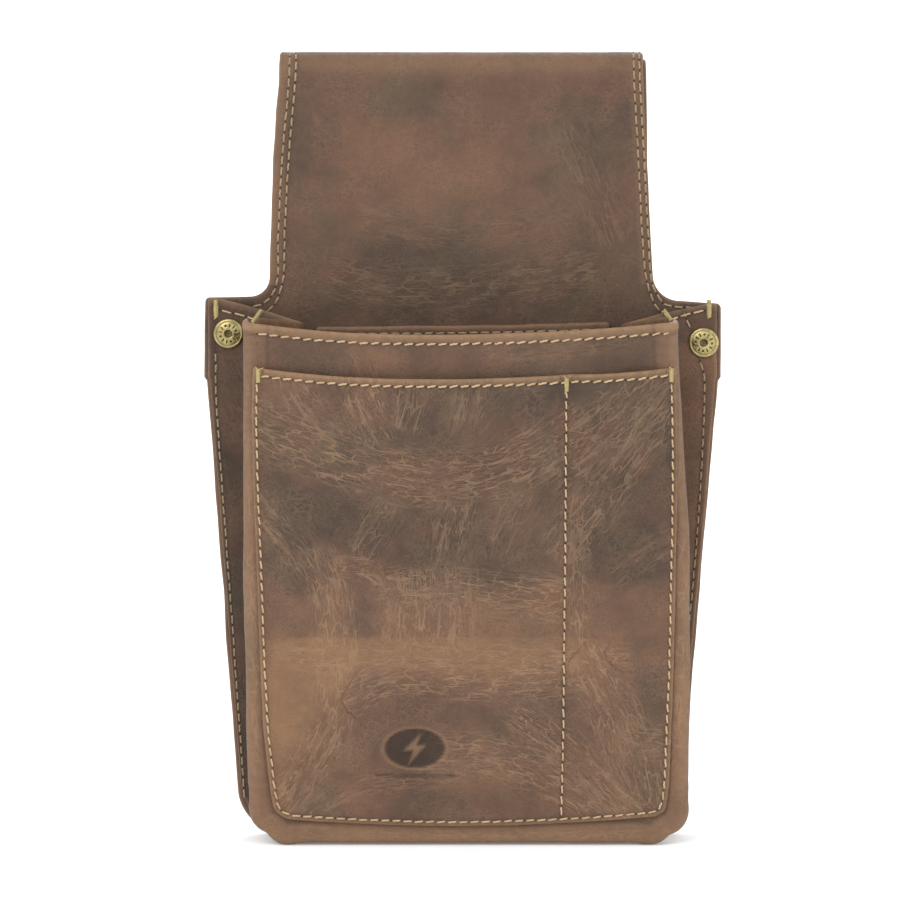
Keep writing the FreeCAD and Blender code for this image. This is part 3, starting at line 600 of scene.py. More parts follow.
def front_sheet():
    """The pocket's front, with its rolled sides and bottom and the skirt behind them."""
    line = even(SPINE, 1.6)
    outer = line - leftward(line) * SKIRT
    outer = outer[outer[:, 1] < FRONT_TALL - 1.2]
    xs = np.linspace(outer[-1][0], outer[0][0], 220)
    tops = points(xs, np.where(np.abs(xs) > 71, FRONT_TALL, rim_height(xs)))
    loop = dense(np.vstack([outer, tops]), 0.8)
    row = rim_row()

    def relief(u, v):
        lift = layered(u, v, 8, 131, 3) * 0.06 + turned_rim(rim_height(u) - v, 3.3, 0.7, 0.3)
        # a soft ridge runs between the patch and the rolled side
        gap = nearest(u, v, SPINE)[0]
        return lift - seams(u, v, [row], 0.2, 0.8) + 0.18 * bell(gap - 1.2, 1.3) - 0.12 * bell(gap - 3.6, 1.0)

    strands = [
        Strand([(-40, 166), (-34, 160), (-30, 150)], 8, 0.5, 0),
        Strand([(0, 162), (30, 164), (60, 168)], 4, 0.5, 1),
        Strand([(-69, 160), (-69, 90), (-66, 20)], 2.5, 0.7, 2),
        Strand([(69, 165), (72, 100), (71, 20)], 3.0, 0.8, 2),
        Strand([(-60, 3), (0, 2), (64, 3)], 4, 0.7, 1),
        Strand([(60, 14), (68, 6), (76, -2)], 6, 0.5, 0),
        Strand([(-56, 14), (-66, 6), (-74, -2)], 6, 0.5, 0),
    ]
    loop = hand_cut(loop, 11, 0.12)
    return Sheet("pocket_front_leather", loop, front_bend, LEATHER, 0.95, relief=relief, strands=strands)


def rim_row():
    xs = np.linspace(-70.6, 68.6, 60)
    return points(xs, rim_height(xs) - 3.0)


# ---- the patch pocket on the front

# down each side seam: (height, distance from the middle)
LEFT_SEAM = [
    (9, 59.2), (12, 60.2), (18, 61.4), (38, 63.6), (64, 64.9), (95, 65.9), (121, 66.9), (141, 67.3), (160, 66.9),
]
RIGHT_SEAM = [
    (9, 64.4), (12, 65.0), (20, 66.1), (38, 66.8), (60, 67.6), (85, 68.1), (110, 68.5), (130, 68.6), (160, 68.0),
]
SEAM_LOW = 8.1


def seam_low(x):
    """Height of the patch's bottom seam."""
    return SEAM_LOW + 2.9 * ((x + 2) / 63) ** 2


def patch_mouth(x):
    """Height of the patch's sagging mouth."""
    reach = np.where(x < -10, 58.0, 79.5)
    return PATCH_TOP_FLAT - 3.4 * np.clip(1 - ((x + 10) / reach) ** 2, 0, 1)


PATCH_TOP_FLAT = PATCH_TOP + 0.1


def patch_seam():
    """Down the left side, along the bottom and up the right side, rounding the corners tightly."""
    ups = np.linspace(153.5, 12.5, 40)
    left = points(-edge_at(LEFT_SEAM, ups), ups)
    right = points(edge_at(RIGHT_SEAM, ups[::-1]), ups[::-1])
    xs = np.linspace(-57.4, 62.6, 30)
    return even(np.vstack([left, points(xs, seam_low(xs)), right]), 1.2)


def divider_line():
    ups = np.linspace(151.5, seam_low(32.0) + 0.8, 40)
    return points(np.interp(ups, [8, 40, 95, 158], [32.3, 33.0, 33.5, 33.9]), ups)


def patch_rise(x, z):
    """How far the patch stands off the front: two soft pillows, fullest at the mouth."""
    left = -edge_at(LEFT_SEAM, z) + 2.2
    right = edge_at(RIGHT_SEAM, z) - 2.2
    middle = np.interp(z, [8, 158], [32.3, 33.9])
    wide = np.clip((x - left) / np.maximum(middle - 2.0 - left, 1), 0, 1)
    narrow = np.clip((x - middle - 2.0) / np.maximum(right - middle - 2.0, 1), 0, 1)
    pillow = np.where(x < middle, np.sin(wide * math.pi) ** 0.55 * 3.4, np.sin(narrow * math.pi) ** 0.7 * 2.6)
    foot = smooth((z - seam_low(x) - 2.5) / 24)
    return pillow * foot * (0.62 + 0.38 * smooth((z - 40) / 115))


def patch_bend(u, v):
    rise = patch_rise(u, v)
    dents = layered(u, v, 30, 55, 2) * 0.30 * smooth(rise / 1.5)
    y = -SOFT / 2 - 0.05 - rise - dents + face_waver(u, v)
    return lean(u, y, v)


EMBLEM = (-15.6, 33.0)
EMBLEM_HALF = (10.4, 6.9)


def in_bolt(x, z):
    """1 inside a plain lightning bolt about the origin, 11 mm tall, and 0 outside, with a soft edge."""
    bolt = np.array([(2.4, 5.5), (-3.9, -0.9), (-0.5, -0.7), (-2.2, -5.6), (3.9, 1.2), (0.6, 1.0)])
    gap = nearest(x, z, bolt, True)[0]
    within = inside(points(x, z), bolt)
    return smooth(0.5 + np.where(within, gap, -gap) / 0.9)


def emblem_reach(x, z):
    """Distance from the emblem's middle, 1 on its oval."""
    return np.sqrt((x / EMBLEM_HALF[0]) ** 2 + (z / EMBLEM_HALF[1]) ** 2)


def emblem_depth(u, v):
    """How far the emblem is pressed in: an oval field with the bolt left standing, over a plain bar."""
    x = u - EMBLEM[0]
    z = v - EMBLEM[1]
    field = smooth((1.0 - emblem_reach(x, z)) * 9)
    bar = smooth((1.0 - np.abs(z + 9.3)) * 1.6) * smooth((13.2 - np.abs(x)) * 1.5)
    return np.maximum(field * (1 - in_bolt(x, z)), 0.5 * bar)


PATCH_STRANDS = [
    # the smile that hangs between the mouth's corners
    Strand([(-86, 147), (-66, 139), (-45, 131), (-24, 124), (-4, 122), (13, 125), (30, 133), (46, 143)], 8.0, 1.0, 0),
    # lines that fall from the hem
    Strand([(-60, 164), (-52, 148), (-38, 132)], 6, 0.6, 1),
    Strand([(-35, 164), (-32, 148), (-24, 130)], 7, 0.9, 1),
    Strand([(-15, 164), (-17, 148), (-20, 134)], 6, 0.7, 2),
    Strand([(2, 164), (2, 148), (-3, 132)], 8, 0.5, 1),
    Strand([(22, 160), (10, 148), (0, 134)], 7, 0.35, 2),
    # fine lines that fan out below the smile
    Strand([(-20, 120), (-30, 104), (-38, 88)], 8, 0.5, 2),
    Strand([(0, 121), (-4, 104), (-8, 88)], 10, 0.55, 1),
    Strand([(24, 124), (14, 106), (8, 88)], 9, 0.45, 2),
    Strand([(-74, 120), (-58, 102), (-46, 86)], 7, 0.6, 1),
    # the narrow pocket's slant, and the strand that runs down beside the divider
    Strand([(24, 118), (42, 133), (58, 148), (74, 164)], 9, 0.9, 1),
    Strand([(28, 92), (40, 109), (54, 130), (68, 150)], 7, 0.95, 2),
    Strand([(37, 122), (36.6, 104), (37, 84), (39, 62)], 3.5, 0.85, 0),
    Strand([(76, 106), (60, 97), (44, 86)], 8, 0.45, 1),
    # the long run down the left
    Strand([(-50, 104), (-43, 84), (-41, 66), (-41, 50), (-46, 34), (-57, 17), (-66, 6)], 5.8, 1.0, 0),
    Strand([(-48, 92), (-33, 93), (-25, 87), (-22.5, 78), (-25, 62)], 3.5, 0.8, 1),
    # the grid above the light band
    Strand([(-34, 86), (-4, 86), (14, 84), (40, 82)], 7, 0.8, 1),
    Strand([(-13, 98), (-11, 78), (-12, 60)], 15, 0.8, 2),
    # along the light band
    Strand([(-46, 44), (-34, 52), (-22, 57), (-4, 56), (16, 55), (44, 57)], 5.5, 1.0, 0),
    Strand([(-62, 62), (0, 64), (60, 62)], 5.5, 0.6, 1),
    # down to the right corner
    Strand([(-14, 29), (8, 30), (30, 23), (48, 10), (58, 2)], 6.5, 0.95, 0),
    Strand([(12, 48), (34, 33), (52, 14), (62, 3)], 6, 0.8, 2),
    Strand([(36, 70), (46, 52), (54, 34), (62, 8)], 7.5, 0.9, 1),
    Strand([(46, 39), (60, 35), (78, 36)], 7, 0.6, 0),
    Strand([(-58, 6), (-36, 19), (-14, 23), (8, 24)], 4.5, 0.55, 1),
]


def patch_sheet():
    """The patch pocket, sewn on round three sides, with its raised wrinkles and the pressed emblem."""
    xs = np.linspace(69.4, -68.2, 150)
    mouth = points(xs, patch_mouth(xs))
    seam = patch_seam()
    cut = np.vstack([[(-68.3, PATCH_TOP_FLAT)], seam - leftward(seam) * 1.5, [(69.5, PATCH_TOP_FLAT)]])
    loop = dense(np.vstack([cut, mouth[1:-1]]), 0.8)
    rows = [(seam, 0.85, 0.26), (patch_hem(), 0.8, 0.2), (divider_line(), 1.0, 0.32)]

    def relief(u, v):
        lift = layered(u, v, 6.5, 203, 3) * 0.07
        for row, width, depth in rows:
            lift = lift - seams(u, v, [row], depth, width)
        lift = lift + turned_rim(patch_mouth(u) - v, 2.7, 0.6, 0.28)
        for strand in PATCH_STRANDS:
            run, across, mask = strand.at(u, v)
            ridges = 1 - np.abs(noise(run, across * 3.2 + noise(run, across, 7, 8) * 3, 9, 300))
            lift = lift + 0.17 * mask * (ridges - 0.7)
        return lift - 0.55 * emblem_depth(u, v)

    loop = hand_cut(loop, 19, 0.1)
    return Sheet("patch_pocket_leather", loop, patch_bend, SOFT, 0.78, relief=relief, strands=PATCH_STRANDS)


def patch_hem():
    xs = np.linspace(-66.0, 67.4, 60)
    return points(xs, patch_mouth(xs) - 2.35)


# ---- the gussets: flange, rear crease, inner fold, front edge

GUSSET_LOW, GUSSET_TOP = 3.5, 177.4


def gusset_plan(v):
    """At each height, the plan's four points: flange edge, rear crease, inner fold and front edge."""
    share = (v - GUSSET_LOW) / (GUSSET_TOP - GUSSET_LOW)
    flange = 73 + 11 * np.minimum(v, WAIST) / WAIST - 1.0 + 0.6 * smooth((v - WAIST) / 2)
    crease = 63 + 3.7 * share
    nose = 56.2 - 5.3 * share
    nose_y = 9 + 3 * share
    low = smooth((14 - v) / 10.5)
    edge = 68.3 - 1.3 * share - 6.5 * low
    edge_y = 22 + 5.6 * share
    flat = SOFT / 2 + 0.05
    return [(flange, flat + 0 * v), (crease, flat + 0.2 + 0 * v), (nose, nose_y), (edge, edge_y)]


def gusset_lengths(v):
    plan = gusset_plan(v)
    return [np.hypot(b[0] - a[0], b[1] - a[1]) for a, b in zip(plan, plan[1:])]


GUSSET_RUN = [float(k[0]) for k in gusset_lengths(np.array([100.0]))]
GUSSET_CREASES = [GUSSET_RUN[0], GUSSET_RUN[0] + GUSSET_RUN[1]]
GUSSET_WIDTH = sum(GUSSET_RUN)
CREASE_SOFT = (3.4, 2.6)


def gusset_point(u, v, side):
    """The middle of the gusset's leather, with both folds rounded."""
    plan = gusset_plan(v)

    def straight(at):
        at = np.clip(at, 0, GUSSET_WIDTH)
        first = at / GUSSET_RUN[0]
        second = (at - GUSSET_CREASES[0]) / GUSSET_RUN[1]
        third = (at - GUSSET_CREASES[1]) / GUSSET_RUN[2]
        leg = np.where(at < GUSSET_CREASES[0], 0, np.where(at < GUSSET_CREASES[1], 1, 2))
        share = np.where(leg == 0, first, np.where(leg == 1, second, third))
        x = np.choose(leg, [a[0] + (b[0] - a[0]) * share for a, b in zip(plan, plan[1:])])
        y = np.choose(leg, [a[1] + (b[1] - a[1]) * share for a, b in zip(plan, plan[1:])])
        return x, y

    x, y = straight(u)
    for crease, soft in zip(GUSSET_CREASES, CREASE_SOFT):
        t = (u - crease + soft) / (2 * soft)
        near = (t > 0) & (t < 1)
        ax, ay = straight(np.full_like(u, crease - soft))
        bx, by = straight(np.full_like(u, crease))
        cx, cy = straight(np.full_like(u, crease + soft))
        t = np.clip(t, 0, 1)
        x = np.where(near, (1 - t) ** 2 * ax + 2 * t * (1 - t) * bx + t * t * cx, x)
        y = np.where(near, (1 - t) ** 2 * ay + 2 * t * (1 - t) * by + t * t * cy, y)
    leaf = smooth((u - GUSSET_CREASES[0]) / 8) * smooth((GUSSET_WIDTH - u) / 8)
    sway = noise(u * 0 + side * 9, v, 46, 61) * 1.1 + noise(u, v, 22, 63) * 0.5
    x = x - leaf * sway * 0.8 * smooth((v - 8) / 30)
    y = y + leaf * noise(u + 40 * side, v, 30, 67) * 0.5
    return x, y


def gusset_bend(side):
    def bend(u, v):
        x, y = gusset_point(u, v, side)
        if side > 0:
            x = x - 0.9 * bell(v - 50, 38) * smooth((x - 68) / 6)
        return points(side * x, -y + panel_waver(side * x, v) * smooth(1 - u / 30), v)

    return bend


def gusset_top(x):
    """Height of the gusset's sloping top edge over its distance from the middle."""
    return np.interp(x, [50, 66.7, 80.3, 90], [170.0, 174.0, GUSSET_TOP, GUSSET_TOP])


def gusset_sheet(side):
    """One side of the pocket's bellows, cut flat, with the lines that its seams follow."""
    name = "left" if side < 0 else "right"
    us = np.linspace(GUSSET_WIDTH, 0, 90)
    heights = np.full(len(us), 172.0)
    for _ in range(4):
        heights = gusset_top(gusset_point(us, heights, side)[0])
    if side > 0:
        heights = heights - 1.7 * smooth(1 - us / 40)
    cut = 13 if side < 0 else 6
    foot = [(0.0, cut), (5.0, 0), (GUSSET_WIDTH - 3, 0), (GUSSET_WIDTH, 5)]
    loop = dense(np.vstack([np.array(foot) + (0, GUSSET_LOW), points(us, heights)]), 0.9)
    seam = flange_seam(side)

    def relief(u, v):
        lift = layered(u, v, 7, 401 + side, 3) * 0.07 - seams(u, v, [seam], 0.2, 0.9)
        ridges = 1 - np.abs(noise(u * 2.6, v, 8, 420))
        for crease in GUSSET_CREASES:
            lift = lift + 0.14 * bell(u - crease, 4) * (ridges - 0.6)
        return lift + turned_rim(np.interp(u, us[::-1], heights[::-1]) - v, 2.2, 0.7, 0.2)

    rear, inner = GUSSET_CREASES
    strands = [
        Strand([(rear, 10), (rear, 90), (rear, 170)], 3.0, 0.7, 0),
        Strand([(inner, 10), (inner, 90), (inner, 168)], 4.0, 0.9, 1),
        Strand([(6, 150), (14, 120), (12, 80)], 6, 0.5, 1),
        Strand([(24, 150), (30, 100), (26, 40)], 6, 0.5, 0),
        Strand([(48, 150), (44, 100), (50, 40)], 7, 0.5, 2),
    ]
    loop = hand_cut(loop, 23 + side, 0.15)
    made = Sheet(f"{name}_gusset_leather", loop, gusset_bend(side), SOFT, 0.8, -side, relief, strands)
    made.seam = seam
    made.hem = flange_hem()
    made.heights = (us[::-1], heights[::-1])
    return made


def flange_u(x, v):
    """Flat distance in from the flange's edge for a distance x from the middle, on the flange."""
    plan = gusset_plan(np.asarray(v, float))
    return (plan[0][0] - x) / np.maximum(plan[0][0] - plan[1][0], 0.1) * GUSSET_RUN[0]


def side_seam(side):
    """The side seam's distance from the middle at each height, from under the ear to the bottom."""
    ups = np.linspace(SHOULDER - 3.5, 11.5, 50)
    if side < 0:
        places = [(10, 71.8), (30, 73.0), (80, 76.4), (110, 78.6), (144, 80.9), (176, 81.1)]
    else:
        places = [(10, 71.2), (60, 74.6), (100, 77.3), (130, 79.0)]
        places += [(152, 79.6), (156, 78.0), (166, 75.4), (176, 71.5)]
    return points(edge_at(places, ups), ups)


def flange_seam(side):
    """The side seam in the gusset's flat (u, v)."""
    xs, ups = side_seam(side).T
    return points(flange_u(xs, ups), ups)


def flange_hem():
    ups = GUSSET_TOP - 1.5 - np.array([2.2, 3.0, 4.6, 5.6])
    xs = np.array([79.5, 76.0, 70.0, 66.9])
    return even(points(flange_u(xs, ups), ups), 1.0)


# ---- the slip pocket inside and the bottom

INNER_LOW, INNER_TOP = 26.0, 168.9
INNER_HALF = 48.4


def inner_bend(u, v):
    wide = np.clip(1 - (u / (INNER_HALF - 4)) ** 2, 0, 1) ** 0.7
    rise = wide * smooth((v - INNER_LOW - 4) / 40) * (3.2 + 1.6 * smooth((v - 90) / 70))
    y = -SOFT / 2 - 0.1 - rise + panel_waver(u, v) + noise(u, v, 30, 91) * 0.3 * wide
    return points(u, y, v)


def inner_sheet():
    """The flat slip pocket sewn to the back panel."""
    half = INNER_HALF
    foot = [(-half, INNER_LOW, 6), (half, INNER_LOW, 6)]
    loop = rounded(foot + [(half, INNER_TOP + 0.9, 1.5), (-half, INNER_TOP - 0.7, 1.5)])
    row = inner_hem()

    def relief(u, v):
        lift = layered(u, v, 8, 505, 3) * 0.05 - seams(u, v, [row], 0.15, 0.8)
        return lift + 0.2 * smooth((v - INNER_TOP + 2.6) / 0.7)

    strands = [Strand([(-30, 60), (0, 90), (30, 150)], 12, 0.5, 0)]
    loop = hand_cut(loop, 29)
    return Sheet("inner_pocket_leather", loop, inner_bend, SOFT, 1.2, relief=relief, strands=strands)


def inner_hem():
    return even(np.array([(-INNER_HALF + 2.5, INNER_TOP - 2.9), (INNER_HALF - 2.5, INNER_TOP - 1.5)]), 2.0)


def inner_sides():
    """The inner pocket's sewn sides and bottom."""
    inset = 2.2
    half = INNER_HALF - inset
    low = INNER_LOW + inset
    return even(np.array([(-half, INNER_TOP - 5), (-half, low), (half, low), (half, INNER_TOP - 4)]), 2.0)


def bottom_sheet():
    """The pocket's bottom, from the back panel to the flexing seam."""
    low, high = corners("pocket_bottom")
    deep, half = float(-low[1]), float(high[0])
    left = 3.5 - half
    loop = rounded([(left, 0.0, 3), (half, 0.0, 3), (half, deep, 2), (left, deep, 2)], 0.9)

    def bend(u, v):
        return points(u, -v, LEATHER / 2 + noise(u, v, 20, 99) * 0.08)

    return Sheet("pocket_bottom_leather", loop, bend, LEATHER, 1.1)


# ------------------------------------------------------------------ materials


def srgb(red, green, blue):
    """A linear colour from 0-255 screen values."""
    made = []
    for value in (red, green, blue):
        value = value / 255
        made.append(value / 12.92 if value <= 0.04045 else ((value + 0.055) / 1.055) ** 2.4)
    return (*made, 1.0)


class Nodes:
    """Short names for the shader nodes that these materials use."""

    def __init__(self, name):
        self.material = bpy.data.materials.new(name)
        self.material.use_nodes = True
        self.tree = self.material.node_tree
        self.tree.nodes.clear()
        self.shader = self.new("BsdfPrincipled")
        self.link(self.shader.outputs[0], self.new("OutputMaterial").inputs["Surface"])

    def new(self, kind, **settings):
        made = self.tree.nodes.new("ShaderNode" + kind)
        for key, value in settings.items():
            setattr(made, key, value)
        return made

    def link(self, source, target):
        """Joins a socket to an input, or sets the input to a plain value."""
        if hasattr(source, "default_value") or hasattr(source, "is_linked"):
            self.tree.links.new(source, target)
        else:
            target.default_value = source

    def fed(self, made, **values):
        """The node with its named inputs joined or set; an underscore stands for a space."""
        for key, value in values.items():
            self.link(value, made.inputs[key.replace("_", " ")])
        return made

    def field(self, name, part="Fac"):
        return self.new("Attribute", attribute_name=name).outputs[part]

    def math(self, kind, a, b=0.0, clamp=False):
        made = self.new("Math", operation=kind, use_clamp=clamp)
        self.link(a, made.inputs[0])
        self.link(b, made.inputs[1])
        return made.outputs[0]

    def plus(self, a, b, clamp=False):
        return self.math("ADD", a, b, clamp)

    def less(self, a, b):
        return self.math("SUBTRACT", a, b)

    def times(self, a, b, clamp=False):
        return self.math("MULTIPLY", a, b, clamp)

    def most(self, first, *rest):
        for value in rest:
            first = self.math("MAXIMUM", first, value)
        return first

    def step(self, value, low, high, to_low=0.0, to_high=1.0):
        made = self.new("MapRange", interpolation_type="SMOOTHSTEP")
        self.fed(made, Value=value, From_Min=low, From_Max=high, To_Min=to_low, To_Max=to_high)
        return made.outputs[0]

    def scaled(self, vector, scale=(1, 1, 1), move=(0, 0, 0), turn=0.0):
        made = self.new("Mapping")
        return self.fed(made, Vector=vector, Scale=scale, Location=move, Rotation=(0, 0, turn)).outputs[0]

    def noise(self, vector, scale, detail=3.0, rough=0.55, colour=False):
        made = self.fed(self.new("TexNoise"), Vector=vector, Scale=scale, Detail=detail, Roughness=rough)
        return made.outputs["Color" if colour else "Fac"]

    def cells(self, vector, scale, feature="DISTANCE_TO_EDGE"):
        made = self.new("TexVoronoi", feature=feature)
        return self.fed(made, Vector=vector, Scale=scale).outputs["Distance"]

    def bent(self, vector, scale, amount):
        """The vector pushed about by noise."""
        push = self.new("VectorMath", operation="MULTIPLY_ADD")
        self.link(self.noise(vector, scale, 2.0, 0.5, True), push.inputs[0])
        push.inputs[1].default_value = (amount, amount, 0)
        self.link(vector, push.inputs[2])
        return push.outputs[0]

    def mix(self, share, a, b):
        made = self.new("Mix", data_type="RGBA")
        for value, place in ((share, 0), (a, 6), (b, 7)):
            self.link(value, made.inputs[place])
        return made.outputs[2]

    def ramp(self, value, stops):
        made = self.new("ValToRGB")
        self.link(value, made.inputs[0])
        line = made.color_ramp.elements
        while len(line) < len(stops):
            line.new(0.5)
        for element, (place, colour) in zip(line, stops):
            element.position = place
            element.color = colour
        return made.outputs[0]

    def split(self, vector):
        made = self.new("SeparateXYZ")
        self.link(vector, made.inputs[0])
        return made.outputs

    def finish(self, colour, rough, height=None, distance=0.0001, strength=1.0):
        """The finished material, with its colour, its roughness and, if there is one, its bump."""
        self.link(colour, self.shader.inputs["Base Color"])
        self.link(rough, self.shader.inputs["Roughness"])
        if height is not None:
            bump = self.fed(self.new("Bump"), Distance=distance, Strength=strength, Height=height)
            self.link(bump.outputs[0], self.shader.inputs["Normal"])
        return self.material


STUDIO = 0.60  # the share of its colour as seen that leather's own colour is, in this bright studio


def hide(red, green, blue):
    """A leather colour from 0-255 screen values, as seen in the studio."""
    return (*(value * STUDIO for value in srgb(red, green, blue)[:3]), 1.0)


GREY_BROWN = hide(80, 65, 54)
BROWN = hide(105, 82, 66)
RED_BROWN = hide(128, 95, 74)
TAN = hide(156, 118, 86)
VEIN = hide(188, 152, 121)
# the pale tan of worn edges, which also serves as the painted highlight on rolled and turned edges
EDGE_TAN = hide(183, 145, 110)


def wax(red, green, blue, painted_light):
    """A thread colour as seen in the studio, darkened as painted shade when painted_light is below 1."""
    return (*(value * painted_light for value in hide(red, green, blue)[:3]), 1.0)


def ridge(n, vector, thin):
    """Thin lines where stretched noise passes its middle: they run the way it is stretched."""
    value = n.noise(vector, 1.0, 2.0, 0.45)
    return n.step(n.math("ABSOLUTE", n.less(value, 0.5)), thin * 0.25, thin, 1.0, 0.0)


def wrinkles(n, layer, number):
    """Light crease lines of one wrinkle layer, from 0 to 1, that run along its strands."""
    along, across, strength = n.split(layer)
    both = n.fed(n.new("CombineXYZ"), X=along, Y=across, Z=number * 7.0)
    bent = n.bent(n.bent(both.outputs[0], 0.10, 2.2), 0.45, 0.55)
    lines = ridge(n, n.scaled(bent, (0.042, 0.60, 1.0)), 0.033)
    fine = ridge(n, n.scaled(bent, (0.11, 1.10, 1.0), (3, 5, 1)), 0.036)
    links = n.step(n.cells(n.scaled(bent, (0.15, 0.66, 1.0)), 1.0), 0.01, 0.085, 1.0, 0.0)
    broken = n.step(n.noise(n.scaled(bent, (0.10, 0.25, 1.0)), 1.0, 3.0, 0.6), 0.30, 0.58, 0.25, 1.0)
    drawn = n.most(lines, n.times(fine, 0.6), n.times(links, 0.9))
    return n.times(n.times(drawn, broken), n.step(strength, 0.05, 0.7))


def blotched(n, bent, small, lift, mottle):
    """Pull-up leather's browns: soft blotches from grey-brown to tan, reddish here and olive there."""
    big = n.noise(bent, 0.028, 4.0, 0.55)
    middle = n.noise(bent, 0.10, 5.0, 0.62)
    blotch = n.plus(n.times(big, 0.70), n.times(middle, 0.30))
    blotch = n.plus(n.step(blotch, 0.24, 0.76), lift)
    blotch = n.plus(n.times(blotch, mottle), n.field("tone"))
    blotch = n.plus(blotch, n.times(n.less(small, 0.5), 0.46), True)
    colour = n.ramp(blotch, [(0.0, GREY_BROWN), (0.34, BROWN), (0.62, RED_BROWN), (1.0, TAN)])
    hue = n.step(n.noise(n.scaled(bent, move=(31, 17, 5)), 0.045, 3.0, 0.6), 0.42, 0.62)
    colour = n.mix(n.times(n.plus(hue, n.field("warm"), True), 0.34), colour, hide(132, 91, 72))
    olive = n.step(n.noise(n.scaled(bent, move=(7, 57, 3)), 0.05, 3.0, 0.6), 0.52, 0.70)
    return n.mix(n.times(olive, 0.42), colour, hide(102, 88, 68))


def creased(n, flat, veins):
    """Crease lines from three layers of strands and a faint net everywhere, and the strands' own strength."""
    layers = [n.field(f"flow{k}", "Vector") for k in range(3)]
    drawn = n.most(*(wrinkles(n, layer, k + 1) for k, layer in enumerate(layers)))
    bent = n.bent(flat, 0.11, 5.0)
    forms = (((0.85, 0.42, 1.0), (0, 0, 0), 0.3), ((0.36, 0.90, 1.0), (9, 4, 0), -0.25))
    net = n.most(*(n.step(n.cells(n.scaled(bent, *form), 1.0), 0.01, 0.10, 1.0, 0.0) for form in forms))
    where = n.step(n.noise(flat, 0.07, 3.0, 0.6), 0.36, 0.62)
    net = n.times(net, n.times(where, 0.36))
    return n.times(n.most(drawn, net), veins), n.most(*(n.split(layer)[2] for layer in layers))


def speckled(n, colour, flat):
    """The colour with pores and with dark and pale flecks, and the pores alone."""
    pores = n.step(n.cells(flat, 1.15, "F1"), 0.10, 0.26, 1.0, 0.0)
    pores = n.times(pores, n.step(n.noise(flat, 0.21, 2.0), 0.40, 0.66))
    colour = n.mix(n.times(pores, 0.34), colour, hide(66, 52, 44))
    fleck = n.noise(flat, 2.3, 3.0, 0.65)
    colour = n.mix(n.step(fleck, 0.30, 0.72, 0.16, 0.0), colour, hide(60, 48, 41))
    return n.mix(n.step(fleck, 0.50, 0.80, 0.0, 0.13), colour, hide(170, 140, 118)), pores


def flesh_side(n, bent, nap):
    """The suede of a leather's back."""
    cloud = n.noise(bent, 0.05, 5.0, 0.65)
    suede = n.ramp(nap, [(0.28, hide(98, 72, 54)), (0.72, hide(156, 122, 92))])
    suede = n.mix(n.step(cloud, 0.36, 0.66, 0.0, 0.62), suede, hide(104, 78, 60))
    fibres = ridge(n, n.scaled(bent, (0.5, 0.12, 1.0), turn=0.7), 0.05)
    suede = n.mix(n.times(fibres, 0.22), suede, hide(176, 142, 110))
    return n.mix(n.field("shade"), suede, hide(60, 44, 34))


def leather(name, lift=0.0, mottle=0.75, veins=1.0, seed=0.0):
    """Waxed leather: blotched browns, pores, crease lines that pull pale, worn edges with painted highlights, painted
    shade, suede behind.
    """
    n = Nodes(name)
    flat = n.scaled(n.field("flat", "Vector"), move=(seed, seed * 2, 0))
    bent = n.bent(flat, 0.05, 12.0)
    small = n.noise(flat, 0.55, 5.0, 0.7)
    nap = n.noise(flat, 1.1, 7.0, 0.8)
    flesh = n.field("flesh")
    creases, zone = creased(n, flat, veins)
    colour = blotched(n, bent, small, lift, mottle)
    colour = n.mix(n.times(zone, 0.05 * veins), colour, TAN)
    colour = n.mix(n.times(creases, 0.52), colour, VEIN)
    colour, pores = speckled(n, colour, flat)
    # wear and painted highlights on rims and folds, in streaks, then the painted shade of seams
    streaks = n.noise(flat, 0.34, 4.0, 0.65)
    colour = n.mix(n.times(n.field("wear_and_highlight"), n.step(streaks, 0.20, 0.72, 0.55, 1.0)), colour, EDGE_TAN)
    colour = n.mix(n.field("shade"), colour, hide(46, 35, 29))
    colour = n.mix(flesh, colour, flesh_side(n, bent, nap))
    rough = n.plus(n.step(n.noise(flat, 0.4, 4.0), 0.3, 0.7, 0.50, 0.66), n.times(creases, 0.10))
    rough = n.plus(rough, n.times(flesh, 0.30), True)
    grain = n.plus(n.times(n.cells(flat, 1.9, "F1"), 0.5), n.times(small, 0.9))
    grain = n.less(n.less(grain, n.times(creases, 0.9)), n.times(pores, 0.5))
    grain = n.plus(grain, n.times(n.times(nap, flesh), 1.2))
    n.shader.inputs["Specular IOR Level"].default_value = 0.22
    return n.finish(colour, rough, grain, 0.00022, 0.75)


def suede_lining():
    """The loop's lining: fawn suede on both sides."""
    n = Nodes("lining_suede")
    flat = n.field("flat", "Vector")
    nap = n.noise(flat, 1.4, 6.0, 0.75)
    cloud = n.noise(flat, 0.06, 3.0)
    colour = n.ramp(nap, [(0.25, hide(100, 74, 54)), (0.75, hide(150, 116, 86))])
    colour = n.mix(n.step(cloud, 0.35, 0.65, 0.0, 0.45), colour, hide(120, 90, 66))
    n.shader.inputs["Sheen Weight"].default_value = 0.15
    return n.finish(colour, n.step(cloud, 0.3, 0.7, 0.84, 0.95), nap, 0.0003, 0.8)


